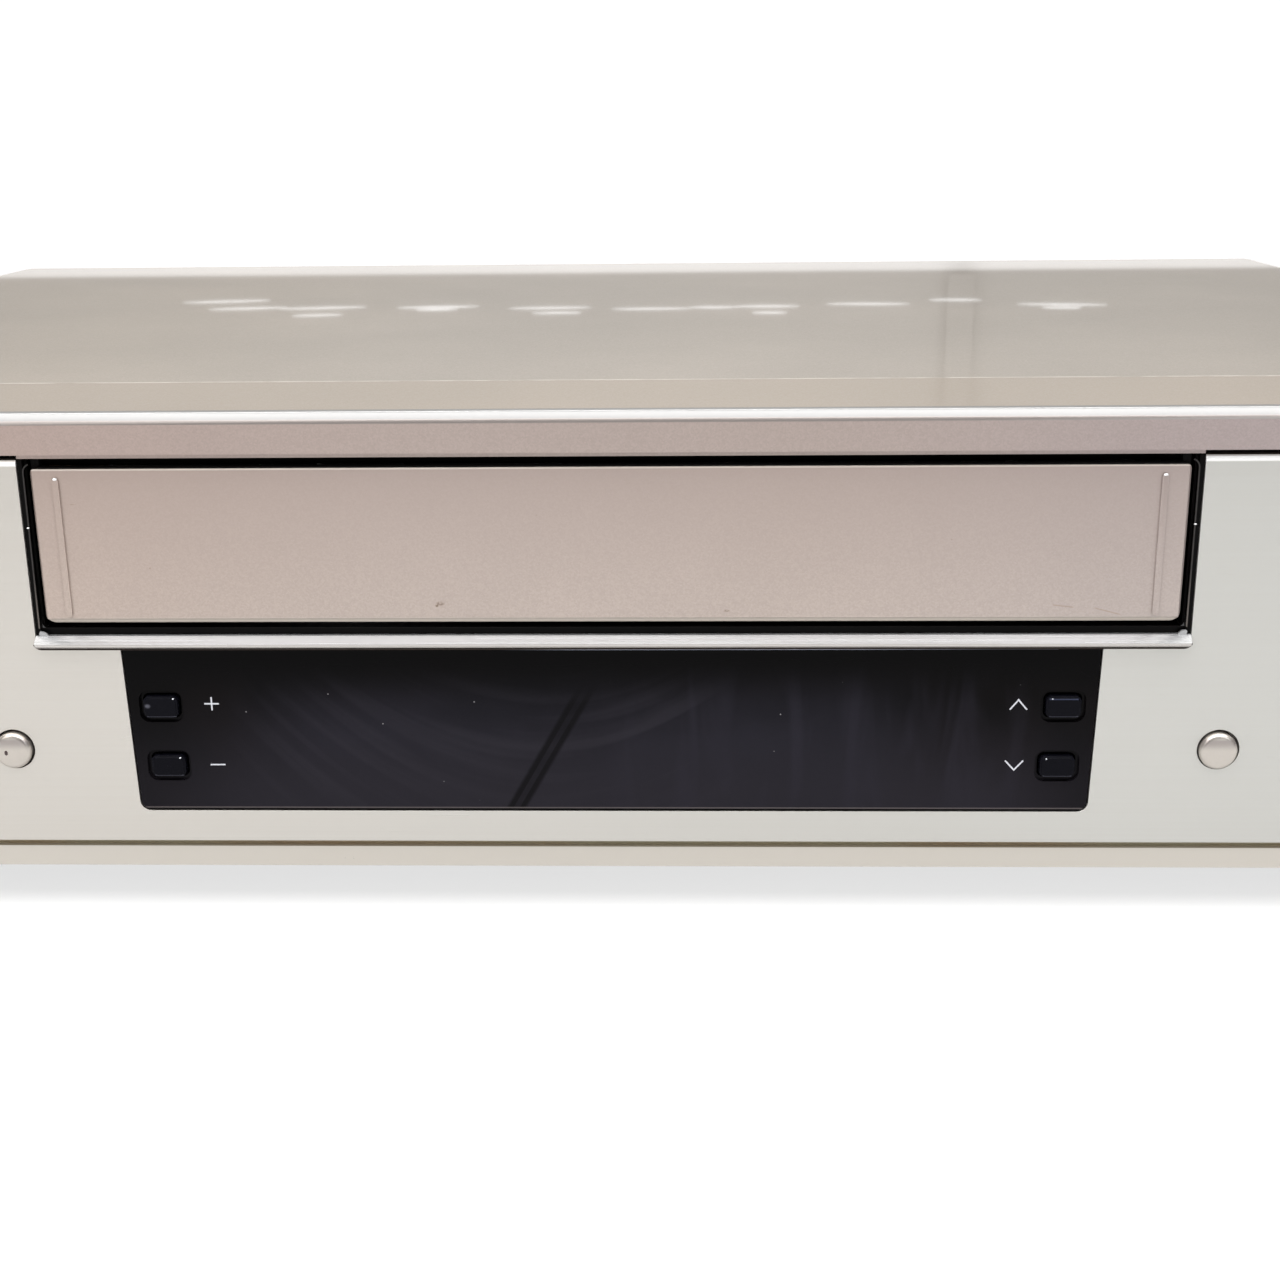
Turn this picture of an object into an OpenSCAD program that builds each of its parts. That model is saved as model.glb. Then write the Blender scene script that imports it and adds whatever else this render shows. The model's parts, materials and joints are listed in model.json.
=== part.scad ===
// Front-loading video cassette recorder, millimetres.
// +Z is up, -Y is the front, the origin is at the centre of the footprint on the surface it stands on.
// Inside the modules a depth d is counted backwards from the face of the front panel.

/* [Case] */
// Width over the sides of the cover
case_w = 430; // [428:1:436]
// Depth from the front panel's face to the rear edge of the cover
case_d = 299.2; // [299:0.1:304]
// Height of the cover above the surface
case_h = 94; // [93.8:0.1:95]
// Height of the feet with their pads
foot_h = 8.5; // [8:0.1:8.6]
// Thickness of the sheet steel cover
sheet_t = 1; // [0.8:0.1:1.2]
// Fold radius along the top side edges
fold_r = 11; // [9:0.5:12]
// Radius of the cover's rear corners, seen from above
rear_r = 9; // [7:0.5:9]
// Radius of the front moulding's top edge
edge_r = 2.1; // [2:0.1:3.2]
// How far the front moulding's top lip reaches back
lip_d = 34; // [33:0.5:35]
// Ventilation slots in each row on the sides
vent_n = 14; // [6:1:14]

/* [Cassette door] */
// Sideways offset of the cassette slot from the middle of the case
slot_x = 5.7; // [4.5:0.1:6]
// Half the width of the opening in the front panel
slot_half = 103.1; // [103.1:0.1:103.3]
// Half the width of the door
door_half = 101; // [100.8:0.1:101]
// Lower edge of the door above the surface
door_z0 = 55.8; // [55.8:0.1:56.2]
// Upper edge of the door above the surface
door_z1 = 84.2; // [83.8:0.1:84.2]
// Radius of the door's hinge pins
hinge_r = 1.1; // [1:0.05:1.2]

/* [Display and keys] */
// Lower edge of the display window above the surface
win_z0 = 19.8; // [19.4:0.1:20]
// Half the width of the display window's cut-out at its top
win_half = 87.9; // [87.6:0.1:88.4]
// How much narrower the cut-out is on each side at its bottom
win_taper = 0.9; // [0:0.1:1]
// Radius of the display window's lower corners
win_r = 2; // [1.5:0.1:3]
// Radius of the small round keys
key_r = 3.3; // [3.2:0.1:3.5]
// Travel of every key
key_travel = 1; // [0.8:0.1:1]

/* [Cassette carriage] */
// Travel of the carriage into the machine
load_travel = 58; // [50:1:58]
// Travel of the cassette holder down onto the reels
lower_travel = 20.5; // [18:0.5:20.5]
// Half the inner width of the cassette holder
holder_half = 95; // [94.8:0.1:95]

/* [Tape transport] */
// Radius of the head drum
drum_r = 31; // [30.5:0.1:31]
// Lean of the head drum
drum_tilt = 5.5; // [4.5:0.1:6]
// Radius of the reel discs
reel_r = 20; // [19:0.5:20]
// Half the distance between the reel spindles
reel_half = 46; // [46:0.1:46.2]
// Radius of the capstan shaft
capstan_r = 1.5; // [1.4:0.1:1.6]

/* [Hidden] */
$fn = 64;

eps = 0.01;
hw = case_w / 2;
lip_out = 2.1;                 // how far the lip trim stands in front of the panel
front_y = -(case_d + 8 - lip_out) / 2; // row position of the front panel's face
zb = foot_h;                   // underside of the case
band_z0 = 86.65;               // underside of the fascia's upper band
strip_z1 = 12.8;               // top of the fascia's bottom strip
panel_z0 = 13.8;               // lower edge of the front panel
panel_z1 = 85.9;               // upper edge of the front panel
lip_z0 = 51.55;                // underside of the lip trim
lip_z1 = 53.7;                  // top of the lip trim
piv_d = 5;  piv_z = 88;        // door hinge axis
door_d = 0.4;  door_t = 2.2;   // face and thickness of the door
back_d = case_d - 1.3;         // outer face of the rear panel

// mechanism, measured from the middle of the slot (x) and from the panel's face (d)
ch_z0 = 30;  ch_z1 = 32;       // mechanism plate
pcb_z = 12.5;                  // underside of the circuit boards
tape_z = 49.3;                 // middle of the tape
reel_d = 80;
cap_x = 62;  cap_d = 154;      // capstan
drum_d = 196;
pul_d = 108;                   // centre pulley
gx0 = 26; gd0 = 128; gx1 = 45; gd1 = 205;       // guide path on either side
pp_x = 82; pp_d = 172;         // pinch arm pivot
pr_x = 78.55; pr_d = 150.55;   // pinch roller, arm released
ta_x = -86; ta_d = 160;        // tension arm pivot
mode_x = -62; mode_d = 205; mode_teeth = 42; mot_x = -81.09; mot_d = 224.09;   // mode gear and motor pinion, 27 apart
pin_m = 0.9; pin_n = 14; pin_d = 98; pin_z = 39.2; rack_z = pin_z + pin_m * pin_n / 2;   // carriage pinion under its rack
jack_x = [24, 38, 52]; jack_z = [38, 58];
sv_x = 5;

KEYS_ROUND = [[slot_x - 109.5, 31.8], [slot_x + 109.5, 31.8]];
KEYS_WIN = [[slot_x - 81.5, 40.1], [slot_x - 81, 28.7], [slot_x + 81.5, 40.1], [slot_x + 81, 28.7]];
POWER = [-184, 66]; EJECT = [-136, 66];
PLAY = [167, 71.5]; STOP = [167, 59.5]; REW = [143, 65.5]; FFW = [191, 65.5];

// ---------- helpers ----------
// moves a shape drawn as (x, d, z) into the row frame
module row() { translate([0, front_y, 0]) children(); }
// the same, with x from the middle of the cassette slot
module slot_row() { translate([slot_x, front_y, 0]) children(); }
module box(x0, x1, d0, d1, z0, z1) { translate([x0, d0, z0]) cube([x1 - x0, d1 - d0, z1 - z0]); }
// rectangle with round corners, exact arcs
module rrect(w, h, r) {
  square([w - 2 * r, h], center = true);
  square([w, h - 2 * r], center = true);
  for (i = [-1, 1], j = [-1, 1]) translate([i * (w / 2 - r), j * (h / 2 - r)]) circle(r);
}
// extrudes an outline drawn in (x, z) from depth d0 to d1
module slab(d0, d1) { translate([0, d1, 0]) rotate([90, 0, 0]) linear_extrude(d1 - d0) children(); }
// cylinder along the depth
module dcyl(x, z, d0, d1, r) { translate([x, d0, z]) rotate([-90, 0, 0]) cylinder(r = r, h = d1 - d0); }
module zcyl(x, d, z0, z1, r) { translate([x, d, z0]) cylinder(r = r, h = z1 - z0); }
// cylinder along the width
module xcyl(x0, x1, d, z, r) { translate([x0, d, z]) rotate([0, 90, 0]) cylinder(r = r, h = x1 - x0); }
// case outline in (x, z): top corners rounded
module case_outline(w, z0, z1, r) {
  translate([-w / 2, z0]) square([w, z1 - z0 - r]);
  translate([-w / 2 + r, z0]) square([w - 2 * r, z1 - z0]);
  for (i = [-1, 1]) translate([i * (w / 2 - r), z1 - r]) circle(r);
}
// cuts off everything outside the rear corners' plan, g inside the cover's skin
module rear_corners(g) {
  r = rear_r - g;
  linear_extrude(200, center = true) {
    translate([-hw + g, -60]) square([case_w - 2 * g, case_d - rear_r + 60]);
    translate([-hw + rear_r, -60]) square([case_w - 2 * rear_r, case_d - g + 60]);
    for (s = [-1, 1]) translate([s * (hw - rear_r), case_d - rear_r]) circle(r);
  }
}
// slot in the plane between two points
module slot2(a, b, w) {
  l = norm(b - a); t = atan2(b[1] - a[1], b[0] - a[0]);
  translate(a) rotate(t) { translate([0, -w / 2]) square([l, w]); circle(w / 2); translate([l, 0]) circle(w / 2); }
}
// involute spur gear outline, pressure angle 25 degrees, one tooth centred on +x
function inv_pt(rb, a) = let (t = a * 180 / PI) rb * [cos(t) + a * sin(t), sin(t) - a * cos(t)];
function rot2(p, t) = [p[0] * cos(t) - p[1] * sin(t), p[0] * sin(t) + p[1] * cos(t)];
function gear_pts(m, n, thin = 0.12) =
  let (rp = m * n / 2, rb = rp * cos(25), ra = rp + 0.8 * m, rf = rp - 1.1 * m,
       u0 = rb > rf ? 0 : sqrt(pow(rf / rb, 2) - 1), u1 = sqrt(pow(ra / rb, 2) - 1),
       up = tan(25), half = 90 / n - (thin / rp) * 180 / PI,
       off = half + (up * 180 / PI - 25))
  [for (k = [0 : n - 1]) let (c = k * 360 / n)
    each concat(
      [rot2([rf, 0], c - 180 / n)],
      [rot2([min(rf, rb), 0], c - off)],
      [for (i = [0 : 4]) rot2(let (q = inv_pt(rb, u0 + (u1 - u0) * i / 4)) [q[0], q[1]], c - off)],
      [for (i = [4 : -1 : 0]) rot2(let (q = inv_pt(rb, u0 + (u1 - u0) * i / 4)) [q[0], -q[1]], c + off)],
      [rot2([min(rf, rb), 0], c + off)])];
module gear2(m, n) { polygon(gear_pts(m, n)); }

// ---------- case ----------
module base_chassis() color([0.72, 0.73, 0.74]) row() {
  difference() {
    union() {
      intersection() {
        union() {
          box(-hw + 1.2, hw - 1.2, 6, back_d - 1.7, zb, zb + 1.2);
          for (s = [-1, 1]) box(s > 0 ? hw - 2.4 : -hw + 1.2, s > 0 ? hw - 1.2 : -hw + 2.4, 38, case_d - rear_r - 1, zb, 27);
        }
        rear_corners(sheet_t + 0.2);
      }
      box(-hw + 12, hw - 12, 6, 7.2, zb, 13);
      box(-hw + 12, hw - 12, back_d - 2.9, back_d - 1.7, zb, 20);
      // posts for the mechanism plate and the circuit board
      for (p = [[-94, 46], [94, 46], [-94, 250], [94, 250]]) zcyl(slot_x + p[0], p[1], zb, ch_z0, 4);
      for (p = [[-185, 60], [-120, 60], [-120, 200], [-185, 280], [130, 60], [195, 60], [195, 280], [40, 280]]) zcyl(p[0], p[1], zb, pcb_z, 3);
    }
    // ventilation slots under the power supply, and under the mechanism
    for (i = [0 : 11]) box(-196 + i * 6, -193 + i * 6, 110, 150, zb - 1, zb + 3);
    for (i = [0 : 7]) box(140 + i * 6, 143 + i * 6, 110, 150, zb - 1, zb + 3);
    // threaded holes for the cover's side screws and the feet
    for (s = [-1, 1], d = [60, 250]) xcyl(s > 0 ? hw - 4 : -hw, s > 0 ? hw : -hw + 4, d, 19, 1.95);
    for (x = [-175, 175], d = [42, 262]) zcyl(x, d, zb - 1, zb + 3, 2);
  }
}

module top_cover() color([0.74, 0.70, 0.66]) row() difference() {
  union() {
    difference() {
      intersection() { slab(lip_d + 0.3, case_d) case_outline(case_w, zb + 1.5, case_h, fold_r); rear_corners(0); }
      intersection() {
        slab(lip_d - 5, case_d + 5) case_outline(case_w - 2 * sheet_t, zb - 5, case_h - sheet_t, fold_r - sheet_t);
        union() {
          rear_corners(sheet_t);
          // open all the way back except at the corners
          translate([-hw + rear_r, case_d - 2, -10]) cube([case_w - 2 * rear_r, 10, 200]);
        }
      }
    }
    // rear lip over the back panel
    box(-hw + 14, hw - 14, case_d - 1, case_d, case_h - 10, case_h - sheet_t + 0.1);
  }
  for (s = [-1, 1]) {
    // two rows of ventilation slots in each side
    for (i = [0 : vent_n - 1], z = [44, 62]) translate([s * hw, 176 + i * 7, z]) cube([6, 3, 12], center = true);
    for (d = [60, 250]) xcyl(s > 0 ? hw - 3 : -hw - 3, s > 0 ? hw + 3 : -hw + 3, d, 19, 2.2);
  }
  for (x = [-150, 0, 150]) dcyl(x, case_h - 5.5, case_d - 3, case_d + 2, 1.9);
}

module side_screw(s) {
  difference() {
    union() {
      xcyl(s > 0 ? hw : -hw - 1.8, s > 0 ? hw + 1.8 : -hw, 0, 0, 4);
      xcyl(s > 0 ? hw - 5 : -hw - 0.5, s > 0 ? hw + 0.5 : -hw + 5, 0, 0, 1.85);
    }
    for (a = [0, 90]) rotate([a, 0, 0]) translate([s * (hw + 1.6), 0, 0]) cube([1.6, 4.4, 0.9], center = true);
  }
}
module cover_screws() color([0.72, 0.70, 0.66]) row() {
  for (s = [-1, 1], d = [60, 250]) translate([0, d, 19]) side_screw(s);
  for (x = [-150, 0, 150]) difference() {
    union() { dcyl(x, case_h - 5.5, case_d, case_d + 1.6, 3.2); dcyl(x, case_h - 5.5, case_d - 5, case_d + 0.5, 1.5); }
    for (a = [0, 90]) translate([x, case_d + 1.5, case_h - 5.5]) rotate([0, a, 0]) cube([3.8, 1.4, 0.8], center = true);
  }
}

module rear_panel() color([0.15, 0.15, 0.16]) row() difference() {
  slab(back_d - 1.5, back_d - 0.05) intersection() {
    case_outline(case_w - 2 * sheet_t - 0.6, zb + 1.5, case_h - sheet_t - 0.3, fold_r - sheet_t);
    translate([-hw + rear_r + 0.2, 0]) square([case_w - 2 * rear_r - 0.4, 200]);
  }
  for (x = [-150, 0, 150]) dcyl(x, case_h - 5.5, back_d - 4, back_d + 2, 1.55);
  box(jack_x[0] - 8, jack_x[2] + 8, back_d - 4, back_d + 2, jack_z[0] - 8, jack_z[1] + 8);
  for (z = jack_z) box(sv_x - 8, sv_x + 8, back_d - 4, back_d + 2, z - 8, z + 8);
  for (z = [40, 62]) dcyl(150, z, back_d - 4, back_d + 2, 5);
  box(-192, -168, back_d - 4, back_d + 2, 23, 39);
  for (i = [0 : 9]) box(-150 + i * 7, -147 + i * 7, back_d - 4, back_d + 2, 48, 74);
}

module fascia_profile() {
  // section in (d, z): upper band, top lip, backing wall, bottom strip and foot
  translate([-1, band_z0]) square([3.4, case_h - band_z0 - edge_r]);
  translate([-1 + edge_r, case_h - edge_r]) intersection() { circle(edge_r); translate([-edge_r - 1, -0.3]) square([edge_r + 1.2, edge_r + 2]); }
  translate([-1 + edge_r - 0.2, band_z0]) square([3.6 - edge_r, case_h - band_z0 - 0.3]);
  translate([-1 + edge_r, case_h - 2.6]) square([lip_d + 1 - edge_r, 2.6]);
  translate([1.6, zb]) square([2.2, case_h - zb - 1]);
  translate([0.7, zb]) square([2.9, strip_z1 - zb]);
  translate([0.7, zb]) square([5.1, 1.6]);
}
module front_fascia() color([0.76, 0.70, 0.66]) row() {
 // thin rim under the band, over the door
 box(slot_x - slot_half + 0.1, slot_x + slot_half - 0.1, 0.4, 1.4, band_z0 - 0.85, band_z0 + 0.3);
 difference() {
  union() {
    intersection() {
      translate([-hw, 0, 0]) rotate([90, 0, 90]) linear_extrude(case_w) fascia_profile();
      slab(-3, 60) case_outline(case_w, zb, case_h, fold_r);
    }
    // side cheeks
    difference() {
      slab(1.6, lip_d) case_outline(case_w, zb, case_h, fold_r);
      slab(1, lip_d + 1) case_outline(case_w - 4.4, zb - 3, case_h - 2.5, fold_r - 2.2);
      slab(5.85, lip_d + 1) translate([-hw - 1, zb - 1]) square([case_w + 2, 2.4]);
    }
  }
  // cassette slot: open right up to the band, plus room for the hinge arms
  slab(-0.5, 10) translate([slot_x - slot_half - 0.05, lip_z0 - 3]) square([2 * slot_half + 0.1, band_z0 - lip_z0 + 3]);
  slab(1.45, 12) translate([slot_x - slot_half - 0.05, 80]) square([2 * slot_half + 0.1, case_h - 2.6 - 80]);
  slab(1.55, 12) translate([slot_x - slot_half - 5.4, 82]) square([12, case_h - 2.6 - 82]);
  // display opening, wide enough for the window's back step
  slab(-0.5, 10) translate([slot_x - win_half - 2, win_z0 - 2]) square([2 * win_half + 4, lip_z0 - win_z0 + 3]);
  // holes for the keys
  for (k = KEYS_ROUND) dcyl(k[0], k[1], -3, 10, key_r + 0.6);
  dcyl(POWER[0], POWER[1], -3, 10, 8.1);
  slab(-3, 10) translate(EJECT) rrect(19.2, 8.2, 3);
  for (k = [PLAY, STOP]) slab(-3, 10) translate(k) rrect(25.2, 9.2, 3);
  for (k = [REW, FFW]) slab(-3, 10) translate(k) rrect(15.2, 9.2, 3);
 }
}

module panel_outline() difference() {
  translate([-hw + 1, panel_z0]) square([case_w - 2, panel_z1 - panel_z0]);
  // cassette opening with round lower corners
  translate([slot_x - slot_half, lip_z0 + 1.55]) square([2 * slot_half, 60]);
  translate([slot_x - slot_half + 1.7, lip_z0 - 0.15]) square([2 * slot_half - 3.4, 60]);
  for (s = [-1, 1]) translate([slot_x + s * (slot_half - 1.7), lip_z0 + 1.55]) circle(1.7);
  // display opening
  translate([slot_x, 0]) window_outline(0);
  translate([slot_x - win_half, lip_z0 - 0.2]) square([2 * win_half, 2]);
  for (k = KEYS_ROUND) translate([k[0] + 0.1, k[1] + 0.12]) circle(key_r + 0.47);
  translate(POWER) circle(7.9);
  translate(EJECT) rrect(18.8, 7.8, 3);
  for (k = [PLAY, STOP]) translate(k) rrect(24.8, 8.8, 3);
  for (k = [REW, FFW]) translate(k) rrect(14.8, 8.8, 3);
}
module front_panel() color([0.84, 0.83, 0.81]) row() difference() {
  slab(0, 1.5) panel_outline();
  // bevel along the upper edge
  translate([-hw - 1, 0, panel_z1]) rotate([90, 0, 90]) linear_extrude(case_w + 2) polygon([[0, -1], [0.4, 0], [0.6, 0.5], [-1, 0.5], [-1, -1]]);
}

module door_frame() color([0.09, 0.08, 0.08]) slot_row() difference() {
  union() {
    for (s = [-1, 1]) {
      // side walls: a narrow edge in front, thicker behind where the hinge pins run
      box(s > 0 ? 102.1 : -slot_half + 0.12, s > 0 ? slot_half - 0.12 : -102.1, 0.3, 1.6, lip_z1, band_z0 - 0.95);
      box(s > 0 ? 101.7 : -slot_half + 0.12, s > 0 ? slot_half - 0.12 : -101.7, 1.5, 12, lip_z1, case_h - 2.9);
      box(s > 0 ? 101.7 : -slot_half - 3, s > 0 ? slot_half + 3 : -101.7, 4, 6, lip_z1, 81);
    }
    // sill under the door, low enough for the door to swing over it
    box(-slot_half + 0.12, slot_half - 0.12, 0.8, 14, lip_z1, lip_z1 + 1.2);
    // bar that closes the gap over the door, rounded to stay inside the hinge's sweep
    box(-101.8, 101.8, 1.7, 12, case_h - 3.5, case_h - 2.9);
    box(-99.2, 99.2, 1.7, 8.2, piv_z, case_h - 3.4);
    intersection() {
      xcyl(-99.2, 99.2, piv_d, piv_z, 4.1);
      box(-99.2, 99.2, 1.7, 12, piv_z - 5, piv_z + 1);
    }
  }
  for (s = [-1, 1]) xcyl(s > 0 ? 101 : -104, s > 0 ? 104 : -101, piv_d, piv_z, hinge_r + 0.06);
}

// section in (d, z): sloping top, upright front edge, and a flange over the window's back step
module lip_profile() polygon([[5, lip_z1 - 0.1], [0, lip_z1 - 0.1], [-lip_out + 0.25, lip_z1 - 1.3], [-lip_out, lip_z1 - 1.55], [-lip_out, lip_z0 + 0.4], [-lip_out + 0.35, lip_z0 + 0.05], [1.5, lip_z0 + 0.05], [1.5, lip_z0 + 1.1], [5, lip_z0 + 1.1]]);
module door_lip() color([0.86, 0.86, 0.87]) slot_row() intersection() {
  translate([-slot_half + 0.1, 0, 0]) rotate([90, 0, 90]) linear_extrude(2 * slot_half - 0.2) lip_profile();
  slab(-10, 20) {
    translate([-slot_half + 0.1, lip_z0 + 1.5]) square([2 * slot_half - 0.2, 10]);
    translate([-slot_half + 1.6, lip_z0 + 0.05]) square([2 * slot_half - 3.2, 10]);
    for (s = [-1, 1]) translate([s * (slot_half - 1.6), lip_z0 + 1.55]) circle(1.5);
  }
}

// window shape with its sides drawn in towards the bottom, g smaller all round
module window_outline(g) {
  z3 = win_z0 + win_r; zt = lip_z0 - 0.1;
  w3 = win_half - win_taper * (zt - z3) / (zt - win_z0);
  polygon([[-w3 + g, z3], [w3 - g, z3], [win_half - g, zt], [-win_half + g, zt]]);
  translate([-w3 + win_r, win_z0 + g]) square([2 * (w3 - win_r), 20]);
  for (s = [-1, 1]) translate([s * (w3 - win_r), z3]) circle(win_r - g);
}
module display_window() color([0.05, 0.05, 0.06]) slot_row() difference() {
  union() {
    slab(0.1, 2.4) window_outline(0.3);
    slab(1.7, 3.2) translate([0, (win_z0 + lip_z0) / 2]) square([2 * win_half + 3.4, lip_z0 - win_z0 + 1.8], center = true);
  }
  for (k = KEYS_WIN) translate([k[0] - slot_x, 0, k[1]]) {
    slab(-1, 5) rrect(6.9, 4.7, 1.2);
    slab(-1, 0.9) rrect(8, 6, 1.8);
  }
}

module feet() color([0.62, 0.60, 0.57]) row() for (x = [-175, 175], d = [42, 262]) difference() {
  union() { translate([x, d, 1.5]) cylinder(r1 = 13.5, r2 = 15, h = foot_h - 1.5); }
  zcyl(x, d, 0, 3.5, 4);
  zcyl(x, d, 0, 10, 1.9);
}
module foot_pads() color([0.12, 0.12, 0.12]) row() for (x = [-175, 175], d = [42, 262]) difference() {
  zcyl(x, d, 0, 1.5, 11.5);
  zcyl(x, d, -1, 3, 4);
}

// ---------- cassette door ----------
module door_section() {
  // section in (d, z) with a bevel round the front edge
  polygon([[door_d, door_z0 + 0.95], [door_d, door_z1 - 0.4], [door_d + 0.4, door_z1], [door_d + door_t, door_z1], [door_d + door_t, door_z0], [door_d + 0.7, door_z0]]);
}
module cassette_door() color([0.75, 0.69, 0.66]) slot_row() {
  intersection() {
    translate([-door_half, 0, 0]) rotate([90, 0, 90]) linear_extrude(2 * door_half) door_section();
    slab(0, 10) {
      translate([-door_half, door_z0 + 2]) square([2 * door_half, door_z1 - door_z0 - 3.3]);
      translate([-door_half + 2, door_z0]) square([2 * door_half - 4, door_z1 - door_z0]);
      for (s = [-1, 1]) { translate([s * (door_half - 2), door_z0 + 2]) circle(2); translate([s * (door_half - 1.3), door_z1 - 1.3]) circle(1.3); }
      translate([-door_half + 1.3, door_z0 + 4]) square([2 * door_half - 2.6, door_z1 - door_z0 - 4]);
    }
    translate([0, 0, 40]) linear_extrude(60) polygon([[-door_half, door_d + 0.4], [-door_half + 0.4, door_d], [door_half - 0.4, door_d], [door_half, door_d + 0.4], [door_half, 6], [-door_half, 6]]);
  }
  // raised rib near each end
  for (s = [-1, 1]) slab(door_d - 0.35, door_d + 0.3) translate([s * 96.5, (57.1 + 82.3) / 2]) rrect(1.1, 25.2, 0.54);
  // hinge arms and pins
  for (s = [-1, 1]) {
    box(s > 0 ? 99.6 : -door_half, s > 0 ? door_half : -99.6, 1.65, 4.2, door_z1 - 1.5, piv_z);
    xcyl(s > 0 ? 99.6 : -door_half, s > 0 ? door_half : -99.6, piv_d, piv_z, 2.3);
    xcyl(s > 0 ? door_half - 0.2 : -107, s > 0 ? 102.9 : -door_half + 0.2, piv_d, piv_z, hinge_r);
  }
  // crank on the left pin that the spring pushes
  box(-107.6, -106.6, piv_d - 0.9, piv_d + 1.35, piv_z - 4.2, piv_z + 1.1);
}

module door_spring() color([0.8, 0.8, 0.82]) slot_row() {
  // torsion coil round the left pin: one leg lies on the frame's tab, the other ends beside the crank, which it pushes forwards
  for (i = [0 : 3]) translate([-slot_half - 0.45 - i * 0.6, piv_d, piv_z]) rotate([0, 90, 0]) rotate_extrude() translate([1.75, 0]) circle(0.33, $fn = 24);
  translate([-slot_half - 0.45, piv_d + 1.75, 78]) cylinder(r = 0.3, h = 10);
  translate([-slot_half - 2.25, piv_d + 1.75, 84.4]) cylinder(r = 0.3, h = 3.6);
  xcyl(-slot_half - 3.35, -slot_half - 2.2, piv_d + 1.75, 84.7, 0.3);
}

// ---------- keys ----------
// a stem with a retaining flange behind the moulding, in (x, z) round k
module key_stem(k, w = 0) {
  if (w > 0) slab(4.0, 5.2) translate(k) rrect(w + 3, 8, 2); else dcyl(k[0], k[1], 4.0, 5.2, key_r + 1.4);
  dcyl(k[0], k[1], 5, 11.3, 1.5);
}
// slightly domed round cap
module round_cap(k, r, out) {
  translate([k[0], 4.2, k[1]]) rotate([90, 0, 0]) rotate_extrude() intersection() {
    square([r, 4.2 + out]);
    translate([0, 4.2 + out - r * 4]) circle(r * 4, $fn = 128);
  }
}
module record_speed_button() color([0.83, 0.81, 0.78]) row() difference() {
  union() { round_cap(KEYS_ROUND[0], key_r, 1.1); key_stem(KEYS_ROUND[0]); }
  dcyl(KEYS_ROUND[0][0] - 0.6, KEYS_ROUND[0][1] - 0.1, -2, -0.8, 0.45);
}
module timer_button() color([0.83, 0.81, 0.78]) row() { round_cap(KEYS_ROUND[1], key_r, 1.1); key_stem(KEYS_ROUND[1]); }
module window_key(k) color([0.07, 0.07, 0.09]) row() {
  slab(-0.35, 4.2) translate(k) rrect(6.3, 4.1, 1.1);
  slab(-0.6, 0) translate(k) rrect(5.7, 3.5, 0.9);
  slab(4.0, 5.2) translate(k) rrect(8.4, 6, 1.2);
  dcyl(k[0], k[1], 5, 11.3, 1.5);
}
module time_plus_button() window_key(KEYS_WIN[0]);
module time_minus_button() window_key(KEYS_WIN[1]);
module channel_up_button() window_key(KEYS_WIN[2]);
module channel_down_button() window_key(KEYS_WIN[3]);
module power_button() color([0.83, 0.81, 0.78]) row() { round_cap(POWER, 7.4, 1.6); dcyl(POWER[0], POWER[1], 4.0, 5.2, 9.4); dcyl(POWER[0], POWER[1], 5, 11.3, 2); }
// a bar-shaped key whose front edge is stepped for a soft bevel
module bar_key(k, w, h) color([0.83, 0.81, 0.78]) row() {
  slab(-0.8, 4.2) translate(k) rrect(w, h, h / 2 - 1.4);
  slab(-1.25, 0) translate(k) rrect(w - 0.8, h - 0.8, h / 2 - 1.8);
  slab(4.0, 5.2) translate(k) rrect(w + 3, h + 1.6, 3);
  dcyl(k[0], k[1], 5, 11.3, 1.8);
}
module eject_button() bar_key(EJECT, 18.2, 7.2);
module play_button() bar_key(PLAY, 24.2, 8.2);
module stop_button() bar_key(STOP, 24.2, 8.2);
module rewind_button() bar_key(REW, 14.2, 8.2);
module fast_forward_button() bar_key(FFW, 14.2, 8.2);

module display_module() color([0.25, 0.32, 0.30]) slot_row() {
  box(-58, 58, 5.4, 9.4, 25, 45);
  box(-66, 66, 9.4, 12, 22, 47);
  for (i = [0 : 15]) box(-45 + i * 6, -44.2 + i * 6, 12, 16, 23, 23.8);
}
module front_board() color([0.16, 0.36, 0.22]) row() {
  difference() {
    union() {
      box(-205, 205, 16, 17.6, 15, 46);
      box(-205, -113, 16, 17.6, 15, 84);
      box(123, 205, 16, 17.6, 15, 84);
    }
    for (x = [-198, -60, 70, 198]) dcyl(x, 20, 14, 20, 1.6);
  }
  // push switches behind the keys
  for (k = concat(KEYS_ROUND, KEYS_WIN, [POWER, EJECT, PLAY, STOP, REW, FFW])) {
    box(k[0] - 3, k[0] + 3, 13.4, 16, k[1] - 3, k[1] + 3);
    dcyl(k[0], k[1], 12.5, 13.5, 1.2);
  }
}

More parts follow.
